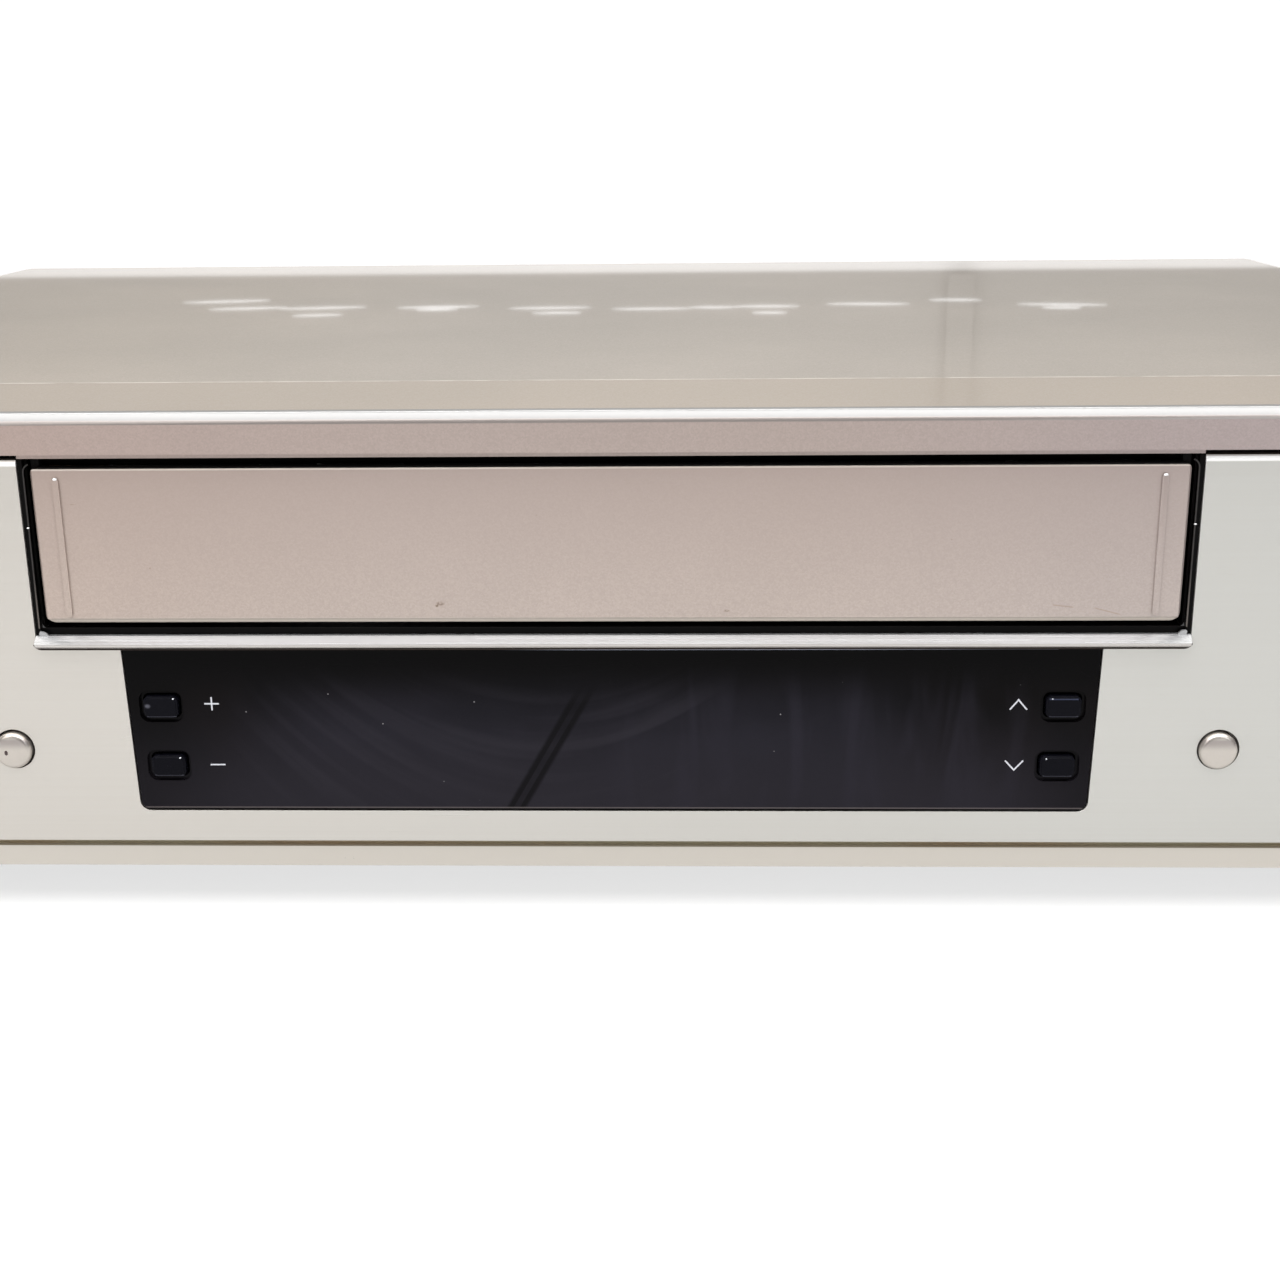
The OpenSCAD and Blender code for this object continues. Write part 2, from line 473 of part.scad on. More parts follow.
// ---------- cassette carriage ----------
module carriage_frame() color([0.76, 0.77, 0.78]) slot_row() {
  for (s = [-1, 1]) difference() {
    union() {
      box(s > 0 ? 98.8 : -100, s > 0 ? 100 : -98.8, 38.5, 166, ch_z1, 90);
      box(s > 0 ? 98.8 : -106, s > 0 ? 106 : -98.8, 120, 150, ch_z1, ch_z1 + 1.2);
    }
    // guide slot for the slider's pins
    for (s2 = [s]) translate([s2 > 0 ? 98 : -101, 0, 0]) rotate([90, 0, 90]) linear_extrude(3) slot2([44, 78], [94 + load_travel, 78], 3.3);
    // bearing hole for the drive gear's shaft, on the right only
    if (s > 0) xcyl(98, 101, pin_d, pin_z, 2.06);
    // lightening hole
    translate([s > 0 ? 98 : -101, 0, 0]) rotate([90, 0, 90]) linear_extrude(3) slot2([120, 56], [146, 56], 18);
  }
  box(-100, 100, 112, 140, 89, 90.2);
  for (s = [-1, 1]) box(s > 0 ? 98.8 : -100, s > 0 ? 100 : -98.8, 112, 140, 89, 90.2);
}

module rack_teeth(d0, d1) {
  // teeth pointing down, a gap centred over the pinion
  p = PI * pin_m; n0 = ceil((d0 - pin_d) / p); n1 = floor((d1 - pin_d) / p) - 1;
  for (i = [n0 : n1]) translate([pin_d + (i + 0.5) * p, rack_z]) {
    w = p / 4 - 0.13; t = tan(25);
    polygon([[-w - 1.3 * pin_m * t, 1.3 * pin_m], [-w + 0.72 * t, -0.72], [w - 0.72 * t, -0.72], [w + 1.3 * pin_m * t, 1.3 * pin_m]]);
  }
}
module carriage_slider() color([0.90, 0.89, 0.85]) slot_row() difference() {
  union() {
    for (s = [-1, 1]) {
      box(s > 0 ? 96.6 : -98.1, s > 0 ? 98.1 : -96.6, 38, 101, rack_z + 1.1, 84);
      for (d = [44, 94]) xcyl(s > 0 ? 98 : -100.6, s > 0 ? 100.6 : -98, d, 78, 1.5);
    }
    translate([96.6, 0, 0]) rotate([90, 0, 90]) linear_extrude(1.5) rack_teeth(38, 101);
    // cross bar behind the holder
    for (s = [-1, 1]) box(s > 0 ? 96.6 : -98.1, s > 0 ? 98.1 : -96.6, 94, 101, 80, 87.5);
    xcyl(-97, 97, 97.5, 86, 1.4);
  }
  // upright slots for the holder's pins
  for (s = [-1, 1], d = [48, 72]) translate([s > 0 ? 96 : -99, 0, 0]) rotate([90, 0, 90]) linear_extrude(3) slot2([d, 71 - lower_travel], [d, 71], 3.3);
}

module cassette_holder() color([0.80, 0.81, 0.82]) slot_row() {
  h = holder_half;
  difference() {
    union() {
      for (s = [-1, 1]) {
        box(s > 0 ? h : -h - 1, s > 0 ? h + 1 : -h, 38.4, 84, 56.3, 84.3);
        box(s > 0 ? 79 : -h - 1, s > 0 ? h + 1 : -79, 38.4, 84, 56.3, 57.3);
        box(s > 0 ? 72 : -88, s > 0 ? 88 : -72, 80.2, 81.2, 72, 84.3);
      }
      box(-h - 1, h + 1, 38.4, 84, 83.3, 84.3);
    }
    // openings in the top plate
    for (x = [-46, 46]) translate([x, 58, 80]) cylinder(r = 12, h = 8);
    box(-18, 18, 50, 70, 80, 90);
  }
  // leaf springs that press the cassette down
  for (x = [-70, 70]) box(x - 4, x + 4, 44, 76, 82.6, 83.35);
  for (s = [-1, 1], d = [48, 72]) xcyl(s > 0 ? h + 0.8 : -h - 3.3, s > 0 ? h + 3.3 : -h - 0.8, d, 71, 1.45);
}

module carriage_gear() color([0.93, 0.93, 0.90]) slot_row() translate([0, pin_d, pin_z]) rotate([0, 90, 0]) {
  // the pinion's tooth points up at rest
  translate([0, 0, 96.75]) linear_extrude(1.25) rotate(180) gear2(pin_m, pin_n);
  translate([0, 0, 96.75]) cylinder(r = 2, h = 8);
  difference() {
    translate([0, 0, 101]) linear_extrude(2.6) gear2(0.9, 26);
    for (a = [0 : 72 : 288]) rotate(a) translate([6.6, 0, 99]) cylinder(r = 1.8, h = 6, $fn = 24);
  }
}

// ---------- tape transport ----------
module mech_chassis() color([0.78, 0.79, 0.80]) slot_row() {
  translate([0, 0, ch_z0]) linear_extrude(ch_z1 - ch_z0) difference() {
    translate([-103, 38]) square([206, 220]);
    for (s = [-1, 1]) slot2([s * gx0, gd0], [s * gx1, gd1], 5);
    translate([94.8, 89.5]) square([4, 17]);
    translate([100.8, 84]) square([4, 28]);
    translate([cap_x, cap_d]) circle(3.6);
    translate([0, pul_d]) circle(2.06);
    translate([mot_x, mot_d]) circle(3);
    translate([0, drum_d]) circle(9);
    for (p = [[-94, 46], [94, 46], [-94, 250], [94, 250]]) translate(p) circle(1.6);
    translate([-20, 44]) square([40, 14]);
    translate([40, 224]) square([44, 22]);
    translate([-70, 112]) square([34, 20]);
  }
  // spindles for the reels, with a thrust collar, and pivots for the arms
  for (s = [-1, 1]) { zcyl(s * reel_half, reel_d, ch_z1 - 0.5, 49, 1.5); zcyl(s * reel_half, reel_d, ch_z1 - 0.5, 33.1, 3); }
  zcyl(pp_x, pp_d, ch_z1 - 0.5, 45, 2);
  zcyl(pp_x, pp_d, ch_z1 - 0.5, 33.3, 4);
  zcyl(ta_x, ta_d, ch_z1 - 0.5, 43, 1.5);
  zcyl(ta_x, ta_d, ch_z1 - 0.5, 33.1, 3.4);
  zcyl(mode_x, mode_d, 21, ch_z0 + 0.5, 2);
  // edge stiffeners
  box(-103, -101.5, 170, 258, ch_z1 - 0.5, 38);
  box(101.5, 103, 170, 258, ch_z1 - 0.5, 38);
  box(-103, 103, 256.5, 258, ch_z1 - 0.5, 38);
}

module reel_table() {
  difference() {
    union() {
      zcyl(0, 0, 33.2, 33.7, 17);
      zcyl(0, 0, 33.6, 36, reel_r);
      zcyl(0, 0, 35.9, 38, 13);
      zcyl(0, 0, 37.9, 46, 7.5);
      zcyl(0, 0, 45.9, 47.6, 5.4);
      // splines that drive the cassette's hub
      for (a = [0 : 60 : 300]) rotate(a) translate([7, -0.8, 38]) cube([2.2, 1.6, 6.8]);
    }
    zcyl(0, 0, 30, 60, 1.56);
    for (a = [30 : 60 : 330]) rotate(a) zcyl(16.4, 0, 34.8, 40, 1.6);
  }
}
module supply_reel() color([0.15, 0.15, 0.16]) slot_row() translate([-reel_half, reel_d, 0]) reel_table();
module takeup_reel() color([0.15, 0.15, 0.16]) slot_row() translate([reel_half, reel_d, 0]) reel_table();

module centre_pulley() color([0.92, 0.91, 0.86]) slot_row() translate([0, pul_d, 0]) difference() {
  union() {
    zcyl(0, 0, 33.6, 36, 17.7);
    zcyl(0, 0, 14.4, 33.7, 2);
    zcyl(0, 0, 14.4, 15.2, 13.2);
    zcyl(0, 0, 15.1, 18, 12);
    zcyl(0, 0, 17.9, 18.7, 13.2);
    zcyl(0, 0, 18.6, 28, 4);
  }
  for (a = [0 : 60 : 300]) rotate(a) zcyl(11, 0, 33, 37, 3.2);
}
module belt_outline(r) hull() {
  translate([0, pul_d]) circle(12 + r, $fn = 48);
  translate([cap_x, cap_d]) circle(8 + r, $fn = 48);
}
module drive_belt() color([0.1, 0.1, 0.1]) slot_row() translate([0, 0, 15.5]) linear_extrude(2.1) difference() { belt_outline(0.95); belt_outline(0.25); }

module idler_arm() color([0.70, 0.71, 0.73]) slot_row() difference() {
  union() {
    translate([0, 0, 32.3]) linear_extrude(1) slot2([0, pul_d], [0, pul_d - 28], 8);
    zcyl(0, pul_d - 28, 33.2, 36.7, 1.5);
  }
  zcyl(0, pul_d, 30, 36, 2.06);
}
module idler_wheel() color([0.88, 0.86, 0.80]) slot_row() translate([0, pul_d - 28, 0]) difference() {
  zcyl(0, 0, 33.6, 36, 10);
  zcyl(0, 0, 30, 50, 1.56);
  for (a = [0 : 90 : 270]) rotate(a) zcyl(5.8, 0, 30, 50, 1.7);
}

module drum_place() slot_row() translate([0, drum_d, 35.8]) rotate([drum_tilt, 0, 0]) children();
module lower_drum() color([0.82, 0.83, 0.85]) {
  drum_place() {
    difference() {
      cylinder(r = drum_r, h = 13.2, $fn = 128);
      // step in the wall that the tape's lower edge runs on
      translate([0, 0, 7.4]) difference() { cylinder(r = drum_r + 1, h = 10, $fn = 128); translate([0, 0, -1]) cylinder(r = drum_r - 0.35, h = 12, $fn = 128); }
    }
    cylinder(r = 3, h = 30);
  }
  slot_row() translate([0, drum_d, 0]) {
    zcyl(0, 0, ch_z1, 40, 20);
    for (a = [90, 225, 315]) rotate(a) difference() { union() { zcyl(34.5, 0, ch_z1, 34.4, 4.6); translate([14, -4.2, ch_z1]) cube([20.5, 8.4, 2.4]); } zcyl(35, 0, 30, 40, 1.6); }
  }
}
module upper_drum() color([0.86, 0.87, 0.89]) drum_place() difference() {
  union() {
    translate([0, 0, 13.6]) cylinder(r = drum_r, h = 12.4, $fn = 128);
    translate([0, 0, 25.9]) cylinder(r = 21, h = 3.4);
    translate([0, 0, 29.2]) cylinder(r = 8, h = 1.8);
  }
  translate([0, 0, 10]) cylinder(r = 3.06, h = 40);
  // head windows and balance holes
  for (a = [0 : 90 : 270]) rotate(a) translate([drum_r - 1.6, -2, 13]) cube([3, 4, 2.8]);
  for (a = [45 : 90 : 315]) rotate(a) translate([25.5, 0, 23]) cylinder(r = 1.6, h = 10);
}

module capstan() color([0.75, 0.74, 0.72]) slot_row() translate([cap_x, cap_d, 0]) {
  zcyl(0, 0, 14.4, 57, capstan_r);
  difference() {
    union() {
      zcyl(0, 0, 19.2, 24, 24);
      zcyl(0, 0, 14.4, 15.2, 9.2);
      zcyl(0, 0, 15.1, 18, 8);
      zcyl(0, 0, 17.9, 19.3, 9.2);
    }
    for (a = [0 : 60 : 300]) rotate(a) zcyl(16, 0, 18.8, 25, 3.4);
  }
}
module capstan_stator() color([0.70, 0.58, 0.35]) slot_row() translate([cap_x, cap_d, 0]) {
  difference() {
    union() { zcyl(0, 0, 25, ch_z0 - 0.1, 22); zcyl(0, 0, 25, 38, 3.2); }
    zcyl(0, 0, 20, 60, capstan_r + 0.06);
  }
}

module pinch_arm() color([0.70, 0.71, 0.73]) slot_row() difference() {
  union() {
    translate([0, 0, 33.4]) linear_extrude(1.6) slot2([pp_x, pp_d], [pr_x, pr_d], 7);
    zcyl(pp_x, pp_d, 33.4, 44, 4);
    zcyl(pr_x, pr_d, 33.4, 58.6, 1.5);
    zcyl(pr_x, pr_d, 56.9, 58.6, 2.6);
  }
  zcyl(pp_x, pp_d, 30, 60, 2.06);
}
module pinch_roller() color([0.08, 0.08, 0.08]) slot_row() difference() {
  zcyl(pr_x, pr_d, 40, 56.6, 6);
  zcyl(pr_x, pr_d, 30, 70, 1.56);
}
module tension_arm() color([0.70, 0.71, 0.73]) slot_row() difference() {
  union() {
    translate([0, 0, 33.2]) linear_extrude(1.4) { slot2([ta_x, ta_d], [-62, 150], 6); slot2([ta_x, ta_d], [-92, 172], 5); }
    zcyl(ta_x, ta_d, 33.2, 42, 3.4);
    zcyl(-62, 150, 33.2, 58, 1.5);
    zcyl(-62, 150, 56.2, 58, 2.6);
  }
  zcyl(ta_x, ta_d, 30, 60, 1.56);
  zcyl(-92, 172, 30, 40, 1);
}

module tape_guide(s) {
  zcyl(0, 0, ch_z1 + 0.2, 35.4, 6);
  zcyl(0, 0, ch_z0 - 0.2, ch_z1 + 0.3, 2.2);
  zcyl(0, 0, 27.8, ch_z0 - 0.15, 4.6);
  zcyl(0, 0, 35, 56.7, 1.4);
  zcyl(0, 0, 55.2, 56.7, 2.8);
  // slanted post beside the roller
  translate([s * -4.6, -2.6, 34]) rotate([0, s * 3, 0]) cylinder(r = 1, h = 19);
}
module guide_roller() difference() { zcyl(0, 0, 36, 54.8, 3); zcyl(0, 0, 30, 70, 1.46); }
module supply_guide() color([0.78, 0.78, 0.80]) slot_row() translate([-gx0, gd0, 0]) tape_guide(-1);
module takeup_guide() color([0.78, 0.78, 0.80]) slot_row() translate([gx0, gd0, 0]) tape_guide(1);
module supply_guide_roller() color([0.9, 0.9, 0.92]) slot_row() translate([-gx0, gd0, 0]) guide_roller();
module takeup_guide_roller() color([0.9, 0.9, 0.92]) slot_row() translate([gx0, gd0, 0]) guide_roller();

module audio_head() color([0.80, 0.78, 0.72]) slot_row() {
  box(50.5, 70, 164, 182, ch_z1, 35);
  box(57, 66, 171, 177, 34.9, 55);
  zcyl(68, 179, 34.9, 47, 1.4);
  zcyl(53, 166.5, 34.9, 57, 1.4);
  zcyl(53, 166.5, 55.6, 57, 2.4);
}
module erase_head() color([0.55, 0.50, 0.44]) slot_row() {
  box(-68, -54, 164, 174, ch_z1, 35);
  box(-66, -57, 165, 171, 34.9, 54);
}

module mode_gear() color([0.93, 0.92, 0.86]) slot_row() translate([mode_x, mode_d, 0]) difference() {
  union() {
    translate([0, 0, 22.5]) linear_extrude(4) rotate(135) gear2(1, mode_teeth);
    zcyl(0, 0, 21.6, 27.4, 5);
  }
  zcyl(0, 0, 17, 37, 2.06);
  for (a = [20 : 60 : 320]) rotate(a) zcyl(12, 0, 21, 29, 3.4);
}
module loading_motor() color([0.60, 0.62, 0.64]) slot_row() difference() {
  union() {
    zcyl(mot_x, mot_d, ch_z1, 33.2, 14);
    zcyl(mot_x, mot_d, 33.1, 58, 11.5);
    zcyl(mot_x, mot_d, 57.9, 59.5, 4);
  }
  zcyl(mot_x, mot_d, 27, 47, 1.06);
}
// the pinion has a tooth gap towards the mode gear
module motor_pinion() color([0.85, 0.70, 0.35]) slot_row() translate([mot_x, mot_d, 0]) {
  translate([0, 0, 22.5]) linear_extrude(4) rotate(-45 + 15) gear2(1, 12);
  zcyl(0, 0, 22.5, 46, 1);
}

// ---------- electronics ----------
module main_board() color([0.15, 0.36, 0.20]) row() {
  t = pcb_z + 1.6;
  difference() {
    box(-205, 205, 30, 290, pcb_z, t);
    box(-202, -102, 88, 262, pcb_z - 2, t + 2);
    for (p = [[-94, 46], [94, 46], [-94, 250], [94, 250]]) zcyl(slot_x + p[0], p[1], pcb_z - 2, t + 2, 4.4);
  }
  for (p = [[135, 80], [160, 80], [185, 80], [150, 130], [185, 150], [-60, 270], [-30, 272], [95, 272]]) zcyl(p[0], p[1], t, t + 12, 4);
  box(125, 150, 160, 185, t, t + 3);
  box(165, 195, 190, 215, t, t + 3);
  box(-190, -150, 40, 60, t, t + 3);
}
module power_supply() color([0.62, 0.50, 0.30]) row() {
  // board beside the main board, with transformer, capacitors and finned heat sink
  t = pcb_z + 1.6;
  box(-200, -104, 92, 258, pcb_z, t);
  box(-190, -160, 180, 214, t, 44);
  box(-194, -156, 186, 208, 20, 38);
  for (p = [[-185, 120, 9, 40], [-160, 118, 7, 32], [-140, 120, 5, 26], [-125, 140, 5, 26], [-130, 240, 6, 30]]) zcyl(p[0], p[1], t, p[3], p[2]);
  difference() {
    box(-150, -144, 170, 230, t, 58);
    for (i = [0 : 8]) box(-151, -145.5, 174 + i * 6, 177 + i * 6, 17, 60);
  }
}
module tuner_box() color([0.80, 0.81, 0.82]) row() {
  difference() {
    box(138, 162, 226, back_d - 3, pcb_z + 1.7, 76);
    for (i = [0 : 4]) translate([150, 239 + i * 10, 74.5]) cube([12, 4, 4], center = true);
  }
}
module av_jacks() color([0.12, 0.12, 0.13]) row() {
  difference() {
    union() {
      box(jack_x[0] - 7.7, jack_x[2] + 7.7, 280, back_d + 0.3, jack_z[0] - 7.7, jack_z[1] + 7.7);
      for (x = jack_x, z = jack_z) dcyl(x, z, back_d, back_d + 7.3, 4.15);
    }
    for (x = jack_x, z = jack_z) dcyl(x, z, back_d - 6, back_d + 9, 1.6);
  }
  for (z = jack_z) {
    difference() {
      box(sv_x - 7.7, sv_x + 7.7, 284, back_d + 0.8, z - 7.7, z + 7.7);
      dcyl(sv_x, z, back_d - 6.2, back_d + 4, 4.6);
    }
    for (p = [[-2.6, -1.2], [2.6, -1.2], [-2, 1.8], [2, 1.8]]) dcyl(sv_x + p[0], z + p[1], back_d - 6.4, back_d - 4.2, 0.5);
  }
}
module antenna_jacks() color([0.85, 0.80, 0.62]) row() for (z = [40, 62]) difference() {
  union() {
    dcyl(150, z, back_d - 1.8, back_d + 9.3, 4.7);
    translate([150, back_d - 0.05, z]) rotate([-90, 0, 0]) cylinder(r = 7, h = 2, $fn = 6);
  }
  dcyl(150, z, back_d + 1.5, back_d + 12, 0.6);
}
module power_inlet() color([0.08, 0.08, 0.08]) row() {
  difference() {
    union() {
      box(-191.7, -168.3, 284, back_d + 0.3, 23.3, 38.7);
      box(-194, -166, back_d - 0.02, back_d + 1.3, 22, 40);
    }
    slab(back_d - 9.7, back_d + 3) translate([-180, 31]) rrect(17, 8.6, 4.2);
  }
  for (s = [-1, 1]) dcyl(-180 + s * 4.3, 31, back_d - 10, back_d - 3.2, 1.2);
}

base_chassis();
top_cover();
cover_screws();
rear_panel();
front_fascia();
front_panel();
door_frame();
door_lip();
display_window();
feet();
foot_pads();
cassette_door();
door_spring();
power_button();
eject_button();
record_speed_button();
timer_button();
time_plus_button();
time_minus_button();
channel_up_button();
channel_down_button();
play_button();
stop_button();
rewind_button();
fast_forward_button();
display_module();
front_board();
carriage_frame();
carriage_slider();
cassette_holder();
carriage_gear();
mech_chassis();
supply_reel();
takeup_reel();
centre_pulley();
drive_belt();
idler_arm();
idler_wheel();
lower_drum();
upper_drum();
capstan();
capstan_stator();
pinch_arm();
pinch_roller();
tension_arm();
supply_guide();
takeup_guide();
supply_guide_roller();
takeup_guide_roller();
audio_head();
erase_head();
mode_gear();
loading_motor();
motor_pinion();
main_board();
power_supply();
tuner_box();
av_jacks();
antenna_jacks();
power_inlet();
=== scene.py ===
import bpy
import bmesh
import json
import math
import random
from mathutils import Matrix, Vector


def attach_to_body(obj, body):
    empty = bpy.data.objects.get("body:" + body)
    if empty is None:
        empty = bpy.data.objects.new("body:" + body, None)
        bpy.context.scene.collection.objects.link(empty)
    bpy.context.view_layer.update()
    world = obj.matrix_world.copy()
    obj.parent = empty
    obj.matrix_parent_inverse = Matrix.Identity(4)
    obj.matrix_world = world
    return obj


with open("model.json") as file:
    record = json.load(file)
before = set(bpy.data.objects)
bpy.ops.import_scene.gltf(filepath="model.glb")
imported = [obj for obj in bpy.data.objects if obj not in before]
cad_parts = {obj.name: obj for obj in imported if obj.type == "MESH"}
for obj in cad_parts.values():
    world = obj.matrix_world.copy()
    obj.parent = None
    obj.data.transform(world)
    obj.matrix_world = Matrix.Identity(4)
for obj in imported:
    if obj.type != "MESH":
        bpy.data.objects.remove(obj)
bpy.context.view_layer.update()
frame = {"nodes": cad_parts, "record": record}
NODES = frame["nodes"]
RECORD = frame["record"]

MM = 0.001
FY = -152.55          # face of the front panel, mm
SX = 5.7              # middle of the cassette slot, mm
scene = bpy.context.scene


def P(x, d, z):
    """x from the middle of the case, depth d behind the panel's face, height z, all in mm."""
    return Vector((x * MM, (FY + d) * MM, z * MM))


def S(x, d, z):
    """The same, with x from the middle of the cassette slot."""
    return P(x + SX, d, z)


# ------------------------------------------------------------------ camera
def make_camera():
    data = bpy.data.cameras.new("view")
    cam = bpy.data.objects.new("view", data)
    scene.collection.objects.link(cam)
    pitch, yaw, roll = math.radians(16.92), math.radians(-1.906), math.radians(-0.636)
    fwd = Vector((math.sin(yaw) * math.cos(pitch), math.cos(yaw) * math.cos(pitch), -math.sin(pitch)))
    right = Vector((math.cos(yaw), -math.sin(yaw), 0.0))
    up = right.cross(fwd)
    r2 = math.cos(roll) * right + math.sin(roll) * up
    u2 = -math.sin(roll) * right + math.cos(roll) * up
    m = Matrix.Identity(4)
    for i in range(3):
        m[i][0], m[i][1], m[i][2] = r2[i], u2[i], -fwd[i]
    m.translation = Vector((21.366 * MM, (FY - 295.777) * MM, 142.7 * MM))
    cam.matrix_world = m
    data.sensor_fit = "HORIZONTAL"
    data.sensor_width = 36.0
    data.lens = 1735.62 / 1280.0 * 36.0
    data.clip_start, data.clip_end = 0.01, 50.0
    scene.camera = cam


make_camera()

# ------------------------------------------------------------------ node helpers


def mat_new(name):
    m = bpy.data.materials.new(name)
    m.use_nodes = True
    nt = m.node_tree
    nt.nodes.clear()
    out = nt.nodes.new("ShaderNodeOutputMaterial")
    b = nt.nodes.new("ShaderNodeBsdfPrincipled")
    nt.links.new(b.outputs[0], out.inputs[0])
    return m, nt, b


class G:
    """Small helper that builds node graphs."""

    def __init__(self, nt):
        self.nt = nt
        self.tc = nt.nodes.new("ShaderNodeTexCoord").outputs["Object"]
        self.sep = None

    def node(self, kind, **kw):
        n = self.nt.nodes.new(kind)
        for k, v in kw.items():
            setattr(n, k, v)
        return n

    def link(self, a, b):
        self.nt.links.new(a, b)

    def put(self, sock, v):
        if isinstance(v, bpy.types.NodeSocket):
            self.nt.links.new(v, sock)
        else:
            sock.default_value = v

    def scaled(self, s, vec=None):
        n = self.node("ShaderNodeVectorMath", operation="MULTIPLY")
        self.put(n.inputs[0], vec or self.tc)
        n.inputs[1].default_value = s
        return n.outputs[0]

    def shifted(self, s, vec=None):
        n = self.node("ShaderNodeVectorMath", operation="ADD")
        self.put(n.inputs[0], vec or self.tc)
        n.inputs[1].default_value = s
        return n.outputs[0]

    def xyz(self, i):
        if self.sep is None:
            n = self.node("ShaderNodeSeparateXYZ")
            self.link(self.tc, n.inputs[0])
            self.sep = n
        return self.sep.outputs[i]

    def noise(self, scale, detail=2.0, rough=0.5, vec=None, stretch=None, colour=False, dist=0.0):
        n = self.node("ShaderNodeTexNoise")
        v = vec or self.tc
        if stretch:
            v = self.scaled(stretch, v)
        self.put(n.inputs["Vector"], v)
        n.inputs["Scale"].default_value = scale
        n.inputs["Detail"].default_value = detail
        n.inputs["Roughness"].default_value = rough
        n.inputs["Distortion"].default_value = dist
        return n.outputs[1] if colour else n.outputs[0]

    def voronoi(self, scale, vec=None, stretch=None, feature="F1", out=0, rnd=1.0):
        n = self.node("ShaderNodeTexVoronoi", feature=feature)
        v = vec or self.tc
        if stretch:
            v = self.scaled(stretch, v)
        self.put(n.inputs["Vector"], v)
        n.inputs["Scale"].default_value = scale
        n.inputs["Randomness"].default_value = rnd
        return n.outputs[out]

    def math(self, op, a, b=0.0, c=None, clamp=False):
        n = self.node("ShaderNodeMath", operation=op)
        n.use_clamp = clamp
        self.put(n.inputs[0], a)
        self.put(n.inputs[1], b)
        if c is not None:
            self.put(n.inputs[2], c)
        return n.outputs[0]

    def remap(self, v, a, b, c=0.0, d=1.0, smooth=False):
        n = self.node("ShaderNodeMapRange")
        n.clamp = True
        if smooth:
            n.interpolation_type = "SMOOTHSTEP"
        self.put(n.inputs[0], v)
        n.inputs[1].default_value = a
        n.inputs[2].default_value = b
        n.inputs[3].default_value = c
        n.inputs[4].default_value = d
        return n.outputs[0]

    def ramp(self, v, stops, interp="LINEAR"):
        n = self.node("ShaderNodeValToRGB")
        self.put(n.inputs[0], v)
        e = n.color_ramp.elements
        n.color_ramp.interpolation = interp
        while len(e) < len(stops):
            e.new(0.5)
        for i, (p, c) in enumerate(stops):
            e[i].position = p
            e[i].color = (*c, 1.0) if len(c) == 3 else c
        return n.outputs[0]

    def mix(self, f, a, b, mode="MIX"):
        n = self.node("ShaderNodeMix", data_type="RGBA", blend_type=mode)
        self.put(n.inputs[0], f)
        self.put(n.inputs[6], a if isinstance(a, bpy.types.NodeSocket) else (*a, 1.0))
        self.put(n.inputs[7], b if isinstance(b, bpy.types.NodeSocket) else (*b, 1.0))
        return n.outputs[2]

    def mult(self, a, b):
        n = self.node("ShaderNodeMix", data_type="RGBA", blend_type="MULTIPLY")
        n.inputs[0].default_value = 1.0
        self.link(a, n.inputs[6])
        self.link(b, n.inputs[7])
        return n.outputs[2]

    def spot(self, x, z, rx, rz, soft=0.35):
        """1 inside an ellipse of the XZ plane (mm)."""
        a = self.math("DIVIDE", self.math("SUBTRACT", self.xyz(0), x * MM), rx * MM)
        b = self.math("DIVIDE", self.math("SUBTRACT", self.xyz(2), z * MM), rz * MM)
        r = self.math("SQRT", self.math("ADD", self.math("MULTIPLY", a, a), self.math("MULTIPLY", b, b)))
        return self.remap(r, 1.0 - soft, 1.0, 1.0, 0.0, smooth=True)

    def bump(self, h, dist, strength=1.0, normal=None):
        n = self.node("ShaderNodeBump")
        n.inputs["Strength"].default_value = strength
        n.inputs["Distance"].default_value = dist
        self.put(n.inputs["Height"], h)
        if normal is not None:
            self.link(normal, n.inputs["Normal"])
        return n.outputs[0]

    def edge(self, radius, lo=0.02, hi=0.25):
        """0 on flat areas, 1 on edges that are convex or concave within the radius."""
        n = self.node("ShaderNodeBevel", samples=4)
        n.inputs["Radius"].default_value = radius
        g = self.node("ShaderNodeNewGeometry")
        d = self.node("ShaderNodeVectorMath", operation="DOT_PRODUCT")
        self.link(n.outputs[0], d.inputs[0])
        self.link(g.outputs["Normal"], d.inputs[1])
        inv = self.math("SUBTRACT", 1.0, d.outputs["Value"])
        return self.remap(inv, lo, hi)

    def box_mask(self, x0, x1, z0, z1, soft):
        """1 inside a rectangle of the XZ plane (mm), soft edges."""
        x, z = self.xyz(0), self.xyz(2)
        s = soft * MM
        a = self.remap(x, x0 * MM - s, x0 * MM + s, smooth=True)
        b = self.remap(x, x1 * MM - s, x1 * MM + s, 1.0, 0.0, smooth=True)
        c = self.remap(z, z0 * MM - s, z0 * MM + s, smooth=True)
        d = self.remap(z, z1 * MM - s, z1 * MM + s, 1.0, 0.0, smooth=True)
        return self.math("MULTIPLY", self.math("MULTIPLY", a, b), self.math("MULTIPLY", c, d))


def lin(r, g, b):
    """sRGB 0-255 to linear."""
    def f(c):
        c /= 255.0
        return c / 12.92 if c <= 0.04045 else ((c + 0.055) / 1.055) ** 2.4
    return (f(r), f(g), f(b))


def tint(c, k):
    return tuple(min(1.0, x * k) for x in c)


# ------------------------------------------------------------------ materials


